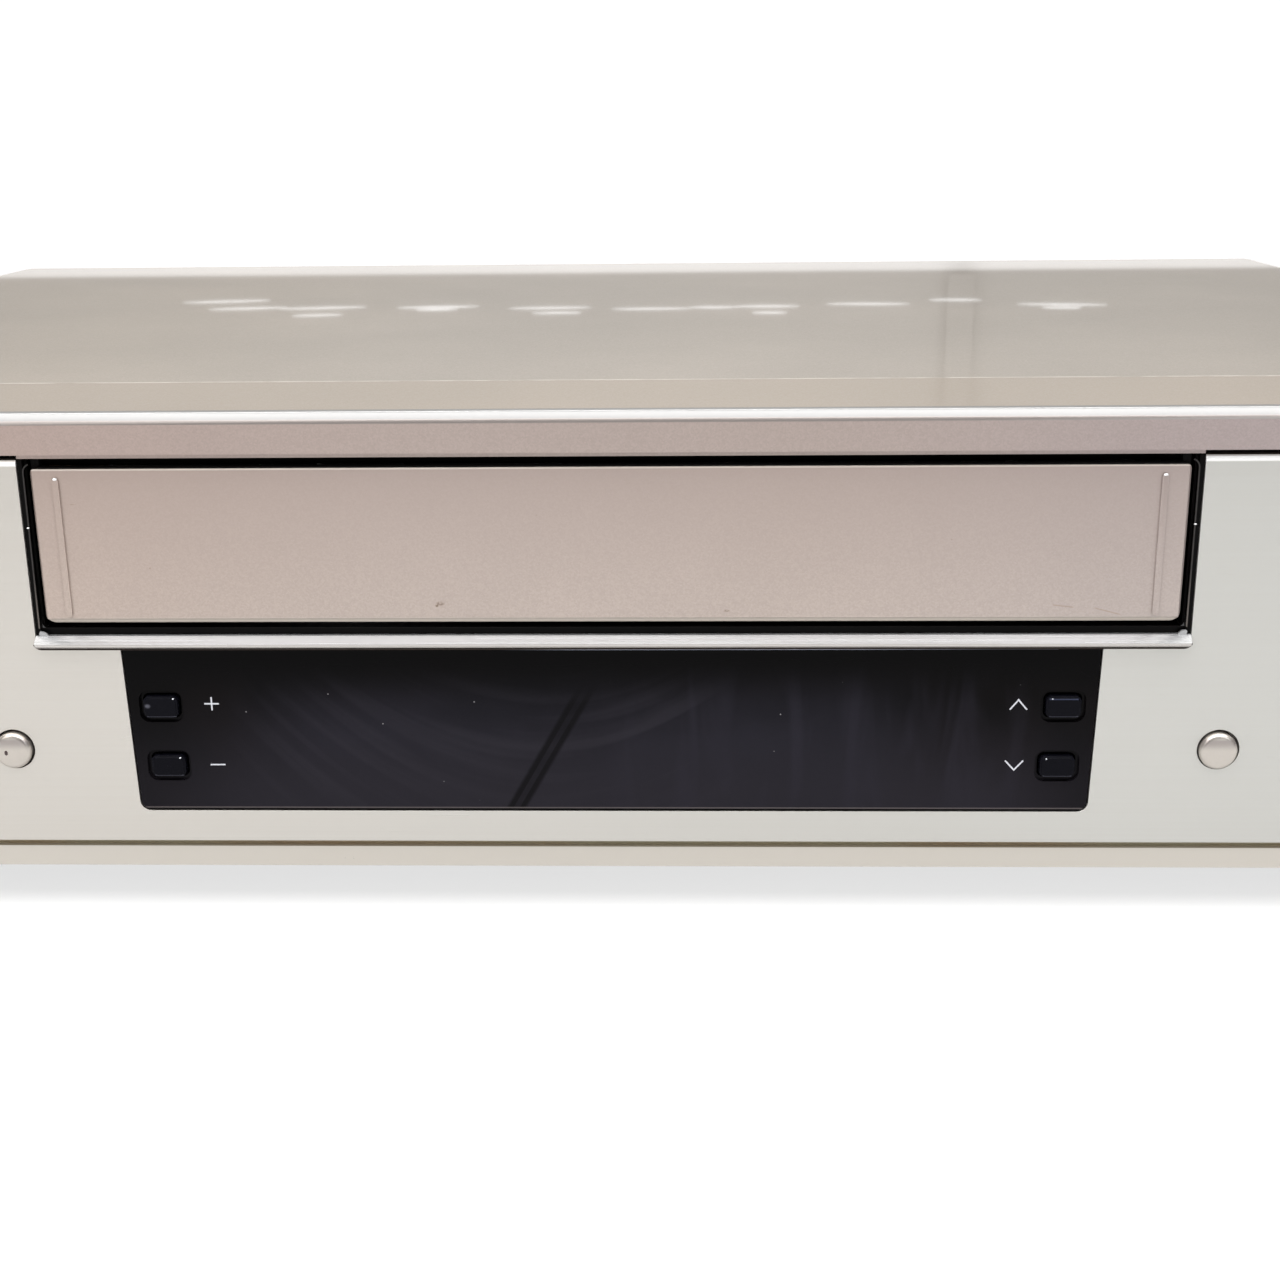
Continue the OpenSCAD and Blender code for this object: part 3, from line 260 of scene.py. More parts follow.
def metallic_paint(name, base, warm, metallic, rough, peel=3.0e-6, painted_height_shade=None, coat=0.25, coat_rough=0.16, flake=1.0, extra=None, painted_side_light=None, spec=0.5, cell_bump=0.5e-6, vary=0.04):
    """Satin metallic coat: flake sparkle, orange peel, slow colour drift and rubbed edges."""
    m, nt, b = mat_new(name)
    g = G(nt)
    cell = g.voronoi(3600.0, out=1)                       # random colour per cell, about 0.28 mm
    fl = g.node("ShaderNodeSeparateColor")
    g.link(cell, fl.inputs[0])
    fine = g.noise(2600.0, 2.0, 0.6)
    grain = g.noise(900.0, 3.0, 0.6)
    slow = g.noise(14.0, 3.0, 0.55)
    slow2 = g.noise(38.0, 2.0, 0.5, vec=g.shifted((0.31, 0.17, 0.09)))
    c = g.mix(g.remap(slow, 0.35, 0.65), base, warm)
    c = g.mix(g.remap(slow2, 0.4, 0.62, 0.0, 0.5), c, tint(base, 0.965))
    spark = g.math("ADD", g.math("MULTIPLY", fl.outputs[0], 0.55), g.math("MULTIPLY", fine, 0.45))
    c = g.mix(g.remap(spark, 0.25, 0.80, 0.0, 1.0), tint_mix(g, c, 1.0 - 0.07 * flake), tint_mix(g, c, 1.0 + 0.07 * flake))
    c = g.mix(g.remap(grain, 0.38, 0.62, 0.0, 0.6), tint_mix(g, c, 0.985), tint_mix(g, c, 1.02))
    edge = g.edge(0.0004, 0.02, 0.30)
    wear = g.math("MULTIPLY", edge, g.remap(g.noise(220.0, 3.0, 0.7), 0.45, 0.7))
    c = g.mix(g.math("MULTIPLY", wear, 0.35), c, tint(base, 1.18))
    # painted shade: blends towards a darker colour going up from z0 to z1
    if painted_height_shade:
        z0, z1, amount, dark = painted_height_shade
        f = g.remap(g.xyz(2), z0 * MM, z1 * MM, 0.0, amount, smooth=False)
        c = g.mix(f, c, dark)
    # painted light: left end tinted warmer and right end cooler, as the side lamps fall
    if painted_side_light:
        left, right = painted_side_light
        c = g.mult(c, g.mix(g.remap(g.xyz(0), -0.125, -0.015, 1.0, 0.0, smooth=True), (1.0, 1.0, 1.0), left))
        c = g.mult(c, g.mix(g.remap(g.xyz(0), 0.03, 0.13, 0.0, 1.0, smooth=True), (1.0, 1.0, 1.0), right))
    black = None
    if extra:
        c = extra(g, c)
        if isinstance(c, tuple):
            c, black = c
    g.link(c, b.inputs["Base Color"])
    b.inputs["Metallic"].default_value = metallic
    r = g.remap(fl.outputs[1], 0.0, 1.0, rough - vary, rough + vary)
    r = g.math("ADD", r, g.remap(slow, 0.3, 0.7, -0.03, 0.04))
    if black is not None:
        # painted shade from the extra's mask: there the surface turns bare black, with no metal, no coat and more
        # roughness
        keep = g.math("SUBTRACT", 1.0, black)
        g.link(g.math("MULTIPLY", keep, metallic), b.inputs["Metallic"])
        g.link(g.math("MULTIPLY", keep, coat), b.inputs["Coat Weight"])
        r = g.math("ADD", r, g.math("MULTIPLY", black, 0.35))
    g.link(r, b.inputs["Roughness"])
    peelh = g.math("ADD", grain, g.math("MULTIPLY", g.noise(380.0, 2.0, 0.5), 1.4))
    n1 = g.bump(peelh, peel, 1.0)
    n2 = g.bump(fl.outputs[2], cell_bump, 1.0, n1)
    g.link(n2, b.inputs["Normal"])
    b.inputs["Specular IOR Level"].default_value = spec
    if black is None:
        b.inputs["Coat Weight"].default_value = coat
    b.inputs["Coat Roughness"].default_value = coat_rough
    return m


def tint_mix(g, c, k):
    """Colour c scaled by k."""
    n = g.node("ShaderNodeVectorMath", operation="SCALE")
    g.link(c, n.inputs[0])
    n.inputs["Scale"].default_value = k
    return n.outputs[0]


def brushed(name, base, other, rough, axis=0, metallic=0.85, lines=4200.0, depth=1.6e-6, anis=0.5, painted_warm_cool_light=None, extra=None, calm=1.0):
    """Metal brushed along one axis: long fine lines in colour, roughness and relief."""
    m, nt, b = mat_new(name)
    g = G(nt)
    st = [lines, lines, lines]
    st[axis] = 16.0
    st2 = [lines * 0.28] * 3
    st2[axis] = 6.0
    fine = g.noise(1.0, 3.0, 0.65, stretch=tuple(st))
    broad = g.noise(1.0, 3.0, 0.6, stretch=tuple(st2))
    slow = g.noise(9.0, 2.0, 0.5)
    c = g.mix(g.remap(fine, 0.32, 0.68), tint(base, 1.0 - 0.045 * calm), tint(base, 1.0 + 0.035 * calm))
    c = g.mix(g.remap(broad, 0.40, 0.62, 0.0, 0.30), c, other)
    c = g.mix(g.remap(slow, 0.40, 0.60, 0.0, 0.35), c, tint(base, 0.97))
    # painted light: warmer towards the left end, cooler and darker towards the right
    if painted_warm_cool_light:
        f = g.remap(g.xyz(0), -0.14, 0.14, 1.0, 0.0, smooth=True)
        wl, wr = painted_warm_cool_light
        c = g.mult(c, g.mix(f, wr, wl))
    nick = g.math("MULTIPLY", g.remap(g.noise(1.0, 2.0, 0.5, stretch=tuple(260.0 if i == axis else 1900.0 for i in range(3))), 0.66, 0.72), 0.35 * calm)
    c = g.mix(nick, c, tint(base, 0.86))
    if extra:
        c = extra(g, c)
    g.link(c, b.inputs["Base Color"])
    b.inputs["Metallic"].default_value = metallic
    g.link(g.math("ADD", g.remap(fine, 0.3, 0.7, rough - 0.07, rough + 0.07), g.remap(slow, 0.3, 0.7, -0.03, 0.03)), b.inputs["Roughness"])
    b.inputs["Anisotropic"].default_value = anis
    h = g.math("ADD", fine, g.math("MULTIPLY", broad, 0.4))
    g.link(g.bump(h, depth, 1.0), b.inputs["Normal"])
    return m


def moulded(name, base, rough=0.45, grain=700.0, depth=4e-6, spec=0.5, coat=0.0, mottle=0.05, wear=None, metallic=0.0, dust=0.0, extra=None):
    """Moulded plastic or rubber: spark-eroded grain, slow mottling, rubbed edges and a little dust."""
    m, nt, b = mat_new(name)
    g = G(nt)
    fine = g.noise(grain, 3.0, 0.65)
    slow = g.noise(24.0, 3.0, 0.55)
    c = g.mix(g.remap(fine, 0.3, 0.7), tint(base, 1.0 - mottle), tint(base, 1.0 + mottle))
    c = g.mix(g.remap(slow, 0.38, 0.62, 0.0, 0.6), c, tint(base, 1.0 - 1.5 * mottle))
    if wear:
        e = g.math("MULTIPLY", g.edge(0.00035, 0.02, 0.28), g.remap(g.noise(300.0, 3.0, 0.7), 0.40, 0.68))
        c = g.mix(g.math("MULTIPLY", e, 0.6), c, wear)
    if dust:
        dd = g.remap(g.voronoi(420.0), 0.0, 0.10, 1.0, 0.0)
        pick = g.remap(g.noise(60.0, 2.0, 0.5), 0.55, 0.72)
        c = g.mix(g.math("MULTIPLY", g.math("MULTIPLY", dd, pick), dust), c, (0.55, 0.54, 0.52))
    if extra:
        c = extra(g, c)
    g.link(c, b.inputs["Base Color"])
    b.inputs["Metallic"].default_value = metallic
    g.link(g.math("ADD", g.remap(fine, 0.3, 0.7, rough - 0.05, rough + 0.05), g.remap(slow, 0.3, 0.7, -0.03, 0.05)), b.inputs["Roughness"])
    b.inputs["Specular IOR Level"].default_value = spec
    if coat:
        b.inputs["Coat Weight"].default_value = coat
        b.inputs["Coat Roughness"].default_value = 0.12
    g.link(g.bump(fine, depth, 1.0), b.inputs["Normal"])
    return m


def zinc(name, base, rough=0.36, metallic=0.9, spangle=140.0):
    """Plated sheet: faint crystal patches, rolling lines, spots."""
    m, nt, b = mat_new(name)
    g = G(nt)
    cell = g.voronoi(spangle, out=1)
    sc = g.node("ShaderNodeSeparateColor")
    g.link(cell, sc.inputs[0])
    roll = g.noise(1.0, 3.0, 0.6, stretch=(20.0, 900.0, 900.0))
    spot = g.noise(60.0, 3.0, 0.6)
    c = g.mix(sc.outputs[0], tint(base, 0.94), tint(base, 1.05))
    c = g.mix(g.remap(roll, 0.35, 0.65, 0.0, 0.5), c, tint(base, 0.90))
    c = g.mix(g.remap(spot, 0.60, 0.72, 0.0, 0.4), c, tint(base, 0.82))
    g.link(c, b.inputs["Base Color"])
    b.inputs["Metallic"].default_value = metallic
    g.link(g.math("ADD", g.remap(sc.outputs[1], 0.0, 1.0, rough - 0.06, rough + 0.08), g.remap(spot, 0.3, 0.7, -0.04, 0.06)), b.inputs["Roughness"])
    g.link(g.bump(g.math("ADD", roll, sc.outputs[2]), 1.2e-6, 1.0), b.inputs["Normal"])
    return m


def turned(name, base, rough=0.22, metallic=1.0, lines=5200.0):
    """Machined metal, with fine tool marks running round an upright axis."""
    m, nt, b = mat_new(name)
    g = G(nt)
    z = g.noise(1.0, 2.0, 0.6, stretch=(60.0, 60.0, lines))
    slow = g.noise(70.0, 2.0, 0.5)
    c = g.mix(g.remap(z, 0.35, 0.65), tint(base, 0.93), tint(base, 1.04))
    c = g.mix(g.remap(slow, 0.45, 0.62, 0.0, 0.4), c, tint(base, 0.9))
    g.link(c, b.inputs["Base Color"])
    b.inputs["Metallic"].default_value = metallic
    g.link(g.remap(z, 0.3, 0.7, rough - 0.07, rough + 0.08), b.inputs["Roughness"])
    g.link(g.bump(z, 1.0e-6, 1.0), b.inputs["Normal"])
    return m


def wound(name, base, other, lines=2200.0):
    """Enamelled copper windings."""
    m, nt, b = mat_new(name)
    g = G(nt)
    w = g.noise(1.0, 1.0, 0.5, stretch=(lines, lines, 200.0))
    c = g.mix(g.remap(w, 0.4, 0.6), base, other)
    g.link(c, b.inputs["Base Color"])
    b.inputs["Metallic"].default_value = 0.75
    g.link(g.remap(w, 0.3, 0.7, 0.28, 0.48), b.inputs["Roughness"])
    g.link(g.bump(w, 3.0e-5, 1.0), b.inputs["Normal"])
    return m


def board(name, base):
    """Solder resist over copper tracks."""
    m, nt, b = mat_new(name)
    g = G(nt)
    t = g.voronoi(230.0, feature="DISTANCE_TO_EDGE", rnd=0.35)
    track = g.remap(t, 0.10, 0.16, 1.0, 0.0)
    pads = g.remap(g.voronoi(400.0, rnd=0.2), 0.16, 0.20, 1.0, 0.0)
    n = g.noise(500.0, 3.0, 0.6)
    c = g.mix(track, base, tint(base, 1.9))
    c = g.mix(g.math("MULTIPLY", pads, g.remap(g.noise(90.0, 1.0, 0.5), 0.5, 0.6)), c, (0.55, 0.55, 0.52))
    c = g.mix(g.remap(n, 0.4, 0.65, 0.0, 0.3), c, tint(base, 0.7))
    g.link(c, b.inputs["Base Color"])
    g.link(g.remap(n, 0.3, 0.7, 0.25, 0.42), b.inputs["Roughness"])
    g.link(g.bump(g.math("ADD", track, pads), 2.5e-5, 1.0), b.inputs["Normal"])
    return m


def window_mat(name):
    """Smoked acrylic: nearly black, bluer and paler over the middle, with dust, smears and a slanting dark streak."""
    m, nt, b = mat_new(name)
    g = G(nt)
    dark = (0.0018, 0.0015, 0.0017)
    brown = (0.0036, 0.0027, 0.0031)
    mid_c = lin(30, 29, 36)
    cloud = g.noise(34.0, 3.0, 0.55, dist=0.5)
    c = g.mix(g.remap(cloud, 0.42, 0.60), dark, brown)
    area = g.box_mask(SX - 62, SX + 52, 23.0, 42.0, 12.0)
    c = g.mix(g.math("MULTIPLY", area, g.remap(cloud, 0.30, 0.62, 0.60, 1.0)), c, mid_c)
    low = g.remap(g.xyz(2), 0.043, 0.021, 0.0, 0.75, smooth=True)
    ends = g.math("MULTIPLY", g.remap(g.xyz(0), (SX - 92) * MM, (SX - 62) * MM, smooth=True), g.remap(g.xyz(0), (SX + 66) * MM, (SX + 90) * MM, 1.0, 0.0, smooth=True))
    c = g.mix(g.math("MULTIPLY", low, g.remap(ends, 0.0, 1.0, 0.40, 1.0)), c, lin(36, 34, 40))
    # soft curved bands, like wood grain, left of the middle
    bend = g.math("ADD", g.xyz(2), g.math("MULTIPLY", g.math("MULTIPLY", g.math("ADD", g.xyz(0), 0.006), g.math("ADD", g.xyz(0), 0.006)), -11.0))
    band = g.node("ShaderNodeTexNoise")
    comb = g.node("ShaderNodeCombineXYZ")
    g.link(g.math("MULTIPLY", g.xyz(0), 16.0), comb.inputs[0])
    g.link(g.math("MULTIPLY", bend, 260.0), comb.inputs[2])
    g.link(comb.outputs[0], band.inputs["Vector"])
    band.inputs["Scale"].default_value = 1.0
    band.inputs["Detail"].default_value = 2.0
    c = g.mix(g.math("MULTIPLY", g.math("MULTIPLY", g.remap(band.outputs[0], 0.48, 0.66), g.box_mask(SX - 62, SX + 20, 22, 44, 10.0)), 0.45), c, lin(42, 40, 46))
    # painted reflection: a faint fan of paler streaks right of the middle
    fan = g.noise(1.0, 2.0, 0.5, stretch=(170.0, 1.0, 26.0), dist=0.8)
    c = g.mix(g.math("MULTIPLY", g.math("MULTIPLY", g.remap(fan, 0.46, 0.66), g.box_mask(SX + 2, SX + 74, 20, 46, 9.0)), 0.40), c, lin(38, 36, 44))
    # slanting dark streak made of two narrow lines
    mid = g.math("SUBTRACT", g.xyz(0), g.math("ADD", g.math("MULTIPLY", g.math("SUBTRACT", g.xyz(2), 0.0330), 0.575), (SX - 10.0) * MM))
    off = g.math("ABSOLUTE", mid)
    line = g.math("MULTIPLY", g.remap(off, 0.00025, 0.0007, smooth=True), g.remap(off, 0.0013, 0.0022, 1.0, 0.0, smooth=True))
    core = g.remap(off, 0.0011, 0.0020, 0.55, 0.0, smooth=True)
    streak = g.math("MULTIPLY", g.math("MAXIMUM", line, core), g.remap(g.xyz(2), 0.0455, 0.0400, 0.0, 0.85, smooth=True))
    c = g.mix(streak, c, (0.0024, 0.0022, 0.0026))
    top = g.remap(g.xyz(2), 0.0400, 0.0490, smooth=True)
    c = g.mix(g.math("MULTIPLY", top, 0.95), c, (0.0012, 0.0010, 0.0012))
    # cool thread of light right under the lip, strongest in the middle
    thread = g.math("MULTIPLY", g.box_mask(SX - 30, SX + 80, 50.80, 51.25, 0.06), g.remap(g.math("ABSOLUTE", g.math("SUBTRACT", g.xyz(0), (SX + 22) * MM)), 0.020, 0.050, 1.0, 0.15, smooth=True))
    c = g.mix(g.math("MULTIPLY", thread, g.remap(g.xyz(0), (SX - 20) * MM, (SX - 8) * MM)), c, lin(214, 220, 240))
    # paler thread of light along the lower edge
    rim = g.math("MULTIPLY", g.remap(g.xyz(2), 0.02062, 0.02050, smooth=True), g.remap(g.xyz(2), 0.02026, 0.02034))
    c = g.mix(g.math("MULTIPLY", rim, 0.7), c, lin(86, 80, 80))
    c = g.mix(g.remap(g.xyz(2), 0.02030, 0.02024), c, (0.0008, 0.0007, 0.0007))
    speck = g.math("MULTIPLY", g.remap(g.voronoi(300.0), 0.0, 0.045, 1.0, 0.0), g.remap(g.noise(150.0, 1.0, 0.5), 0.62, 0.66))
    for x, z in ((-66.0, 39.1), (-50.8, 42.5), (-24.3, 41.0), (-41.1, 36.8), (31.0, 38.6)):
        speck = g.math("MAXIMUM", speck, g.spot(SX + x, z, 0.16, 0.16, 0.5))
    c = g.mix(g.math("MULTIPLY", speck, 0.6), c, lin(150, 148, 150))
    g.link(c, b.inputs["Base Color"])
    smear = g.noise(45.0, 4.0, 0.6, dist=0.8)
    r = g.remap(smear, 0.35, 0.65, 0.05, 0.13)
    r = g.math("ADD", r, g.math("MULTIPLY", speck, 0.5))
    g.link(r, b.inputs["Roughness"])
    b.inputs["Specular IOR Level"].default_value = 0.05
    g.link(g.bump(g.math("ADD", g.noise(900.0, 2.0, 0.5), g.math("MULTIPLY", speck, 6.0)), 1.0e-6, 1.0), b.inputs["Normal"])
    return m


def glass_tube(name):
    m, nt, b = mat_new(name)
    g = G(nt)
    mesh = g.noise(1.0, 1.0, 0.5, stretch=(1500.0, 1500.0, 1500.0))
    seg = g.remap(g.voronoi(160.0, rnd=0.1, feature="DISTANCE_TO_EDGE"), 0.05, 0.12)
    c = g.mix(seg, (0.10, 0.14, 0.14), (0.035, 0.06, 0.065))
    c = g.mix(g.remap(mesh, 0.4, 0.6, 0.0, 0.4), c, (0.02, 0.03, 0.035))
    g.link(c, b.inputs["Base Color"])
    g.link(g.remap(mesh, 0.3, 0.7, 0.08, 0.2), b.inputs["Roughness"])
    b.inputs["Coat Weight"].default_value = 0.8
    b.inputs["Coat Roughness"].default_value = 0.04
    g.link(g.bump(seg, 1.0e-5, 1.0), b.inputs["Normal"])
    return m


C_TOP = tint(lin(150, 142, 133), 0.97)
C_BAND = tint(lin(156, 141, 134), 0.965)
C_DOOR = tint(lin(161, 149, 142), 1.15)
BLACK = (0.0014, 0.0012, 0.0012)


def top_extra(g, c):
    """Painted highlight: a thin pale line along the cover's front edge, broken here and there."""
    line = g.math("MULTIPLY", g.remap(g.xyz(1), (FY + 35.2) * MM, (FY + 34.9) * MM), g.remap(g.noise(1.0, 2.0, 0.6, stretch=(160.0, 20.0, 20.0)), 0.36, 0.56, 0.25, 0.75))
    return g.mix(line, c, lin(196, 188, 180))


def fascia_extra(g, c):
    """Painted shade inside the shut lines, olive in the low gap and black in the high one; the paler strip along the
    bottom; painted highlight shaping and painted light on the rounded top edge and the strip behind it.
    """
    low = g.remap(g.xyz(2), 12.95 * MM, 12.75 * MM, smooth=True)
    c = g.mix(low, c, tint(lin(188, 182, 173), 0.96))
    back = g.remap(g.xyz(1), (FY + 1.45) * MM, (FY + 1.55) * MM)
    # painted shade: olive in the gap over the bottom strip, darker on its front face
    low_gap_shade = g.math("MULTIPLY", g.remap(g.xyz(2), 12.38 * MM, 12.46 * MM), g.remap(g.xyz(2), 14.4 * MM, 14.5 * MM, 1.0, 0.0))
    tone = g.remap(g.noise(1.0, 2.0, 0.5, stretch=(26.0, 4.0, 4.0)), 0.40, 0.60)
    gap_shade_olive = g.mix(g.remap(g.xyz(1), (FY + 0.80) * MM, (FY + 0.95) * MM), g.mix(tone, (0.130, 0.100, 0.064), (0.140, 0.118, 0.080)), g.mix(tone, (0.46, 0.36, 0.24), (0.46, 0.41, 0.29)))
    c = g.mix(low_gap_shade, c, gap_shade_olive)
    # painted shade: black behind the shut line under the band
    high_gap_shade = g.math("MULTIPLY", g.remap(g.xyz(2), 84.0 * MM, 84.1 * MM), g.remap(g.xyz(2), 86.66 * MM, 86.70 * MM, 1.0, 0.0))
    black = g.math("MULTIPLY", back, high_gap_shade)
    c = g.mix(black, c, BLACK)
    # painted highlight shaping on the rounded top edge: a darker band on its lower part narrows the highlight and a
    # darker neutral base above tones it; the upward strip behind is painted paler and yellower, as painted light
    c = g.mix(g.math("MULTIPLY", g.remap(g.xyz(2), 91.8 * MM, 92.0 * MM, smooth=True), g.remap(g.xyz(2), 92.45 * MM, 92.70 * MM, 1.0, 0.0, smooth=True)), c, (0.225, 0.198, 0.185))
    c = g.mix(g.remap(g.xyz(2), 92.45 * MM, 92.75 * MM, smooth=True), c, (0.175, 0.172, 0.168))
    c = g.mix(g.math("MULTIPLY", g.remap(g.xyz(2), 93.85 * MM, 93.97 * MM), g.remap(g.xyz(1), (FY + 1.0) * MM, (FY + 1.6) * MM, smooth=True)), c, (0.388, 0.326, 0.265))
    return c, g.math("MAXIMUM", black, low_gap_shade)


def door_extra(g, c):
    """Painted shade: arms, pins, crank, back faces and the square corners are painted black like the dark gap; painted
    highlights on the lower bevel and along the top edge; a few specks of dirt and light scratches.
    """
    # painted shade: above the door's top edge and behind its back face
    up = g.remap(g.xyz(2), 84.28 * MM, 84.34 * MM)
    back = g.remap(g.xyz(1), (FY + 2.70) * MM, (FY + 2.78) * MM)
    # painted highlight: the lower bevel is paler
    c = g.mix(g.remap(g.xyz(2), 56.9 * MM, 56.2 * MM), c, lin(220, 210, 198))
    # painted highlight along the door's top edge
    top_edge_highlight = g.math("MULTIPLY", g.remap(g.xyz(2), 83.60 * MM, 83.70 * MM, smooth=True), g.remap(g.xyz(1), (FY + 0.9) * MM, (FY + 1.0) * MM, 1.0, 0.0))
    c = g.mix(top_edge_highlight, c, lin(194, 184, 176))
    side = g.math("ABSOLUTE", g.math("SUBTRACT", g.xyz(0), SX * MM))
    # painted shade: the square corners outside a rounded outline go black like the gap
    corner = None
    for rad, edge_z, sign in ((1.8, 55.85, 1.0), (0.75, 83.93, -1.0)):
        u = g.math("MAXIMUM", g.math("SUBTRACT", side, (100.95 - rad) * MM), 0.0)
        v = g.math("MAXIMUM", g.math("MULTIPLY", g.math("SUBTRACT", (edge_z + sign * rad) * MM, g.xyz(2)), sign), 0.0)
        out = g.remap(g.math("SQRT", g.math("ADD", g.math("MULTIPLY", u, u), g.math("MULTIPLY", v, v))), (rad - 0.04) * MM, (rad + 0.04) * MM)
        corner = out if corner is None else g.math("MAXIMUM", corner, out)
    for x, z, rx, rz, k in ((-29.7, 59.35, 0.95, 0.55, 0.75), (-30.3, 59.0, 0.45, 0.40, 0.8), (21.2, 57.95, 0.75, 0.30, 0.6), (-93.9, 77.6, 0.8, 0.12, 0.35),
                            (-81.2, 66.0, 0.22, 0.22, 0.5), (60.4, 70.8, 0.2, 0.2, 0.35), (-12.1, 75.4, 0.18, 0.18, 0.3)):
        ragged = g.remap(g.noise(2600.0, 3.0, 0.7), 0.36, 0.56)
        c = g.mix(g.math("MULTIPLY", g.math("MULTIPLY", g.spot(SX + x, z, rx, rz, 0.7), ragged), k), c, lin(98, 78, 60))
    # two faint curved scratches near the lower right corner
    for x0, z0, slope, x1 in ((86.0, 58.3, -0.26, 90.4), (78.6, 58.9, -0.12, 82.2)):
        dz = g.math("SUBTRACT", g.xyz(2), g.math("ADD", g.math("MULTIPLY", g.math("SUBTRACT", g.xyz(0), (SX + x0) * MM), slope), z0 * MM))
        line = g.remap(g.math("ABSOLUTE", dz), 0.00004, 0.00016, 1.0, 0.0)
        c = g.mix(g.math("MULTIPLY", g.math("MULTIPLY", line, g.box_mask(SX + x0, SX + x1, 50, 70, 0.3)), 0.5), c, lin(140, 120, 106))
    # painted shade mask: arms, back faces and corners
    black = g.math("MAXIMUM", g.math("MAXIMUM", up, back), g.math("MULTIPLY", corner, g.remap(side, 101.2 * MM, 101.3 * MM, 1.0, 0.0)))
    return g.mix(black, c, BLACK), black


def key_extra(g, c):
    """Painted highlights along the lower edges and one tiny painted glint on the inner upper corner of each window key,
    a bluish painted highlight along the upper edge of the upper right key, and a dull smudge.
    """
    # painted highlights along the keys' lower edges
    for x, z, w in ((-81.4, 38.35, 2.7), (-81.0, 26.95, 2.7), (81.6, 38.35, 2.6), (81.1, 26.95, 2.6)):
        c = g.mix(g.math("MULTIPLY", g.box_mask(SX + x - w, SX + x + w, z - 0.10, z + 0.06, 0.08), 0.8), c, lin(74, 74, 84))
    # painted glints
    for x, z in ((-79.05, 41.75), (-78.7, 30.35), (79.4, 41.7), (78.9, 30.3)):
        c = g.mix(g.math("MULTIPLY", g.spot(SX + x, z, 0.19, 0.15, 0.5), 0.9), c, lin(216, 218, 224))
    # painted highlight along the upper right key's upper edge
    c = g.mix(g.math("MULTIPLY", g.box_mask(SX + 78.9, SX + 84.0, 41.55, 41.75, 0.08), 0.5), c, lin(74, 80, 104))
    c = g.mix(g.math("MULTIPLY", g.spot(SX - 83.8, 40.4, 0.75, 0.55, 0.8), 0.6), c, lin(96, 96, 106))
    return c


def lip_extra(g, c):
    """Painted shade: a dark band under the slope, the upright lower edge painted grey, and a dark brown line along the
    bottom.
    """
    c = g.mix(g.remap(g.xyz(2), 52.47 * MM, 52.39 * MM), c, (0.135, 0.128, 0.122))
    c = g.mix(g.remap(g.xyz(2), 52.22 * MM, 52.12 * MM), c, (0.32, 0.30, 0.285))
    c = g.mix(g.remap(g.xyz(2), 51.86 * MM, 51.76 * MM), c, lin(86, 76, 70))
    return c


def panel_extra(g, c):
    """Painted highlight on the milled chamfer along the panel's upper edge, then painted shade above it: grey, then
    near black under the band.
    """
    c = g.mix(g.remap(g.xyz(2), 84.35 * MM, 84.75 * MM, smooth=True), c, (0.93, 0.92, 0.91))
    c = g.mix(g.remap(g.xyz(2), 85.34 * MM, 85.42 * MM), c, (0.50, 0.47, 0.45))
    return g.mix(g.remap(g.xyz(2), 85.58 * MM, 85.64 * MM), c, (0.012, 0.009, 0.007))


def round_key_extra(g, c):
    """Painted shade: a darker, cooler band across the two round keys under the bright upper rim, so the face reads
    paler towards the bottom.
    """
    near = g.math("MULTIPLY", g.remap(g.xyz(2), 36.5 * MM, 37.0 * MM, 1.0, 0.0), g.remap(g.xyz(2), 27.0 * MM, 27.5 * MM))
    band = g.math("MULTIPLY", g.remap(g.xyz(2), 31.9 * MM, 33.6 * MM, smooth=True), g.remap(g.xyz(2), 33.9 * MM, 34.5 * MM, 1.0, 0.0, smooth=True))
    c = g.mix(g.math("MULTIPLY", g.math("MULTIPLY", band, near), 0.75), c, lin(142, 134, 132))
    return c


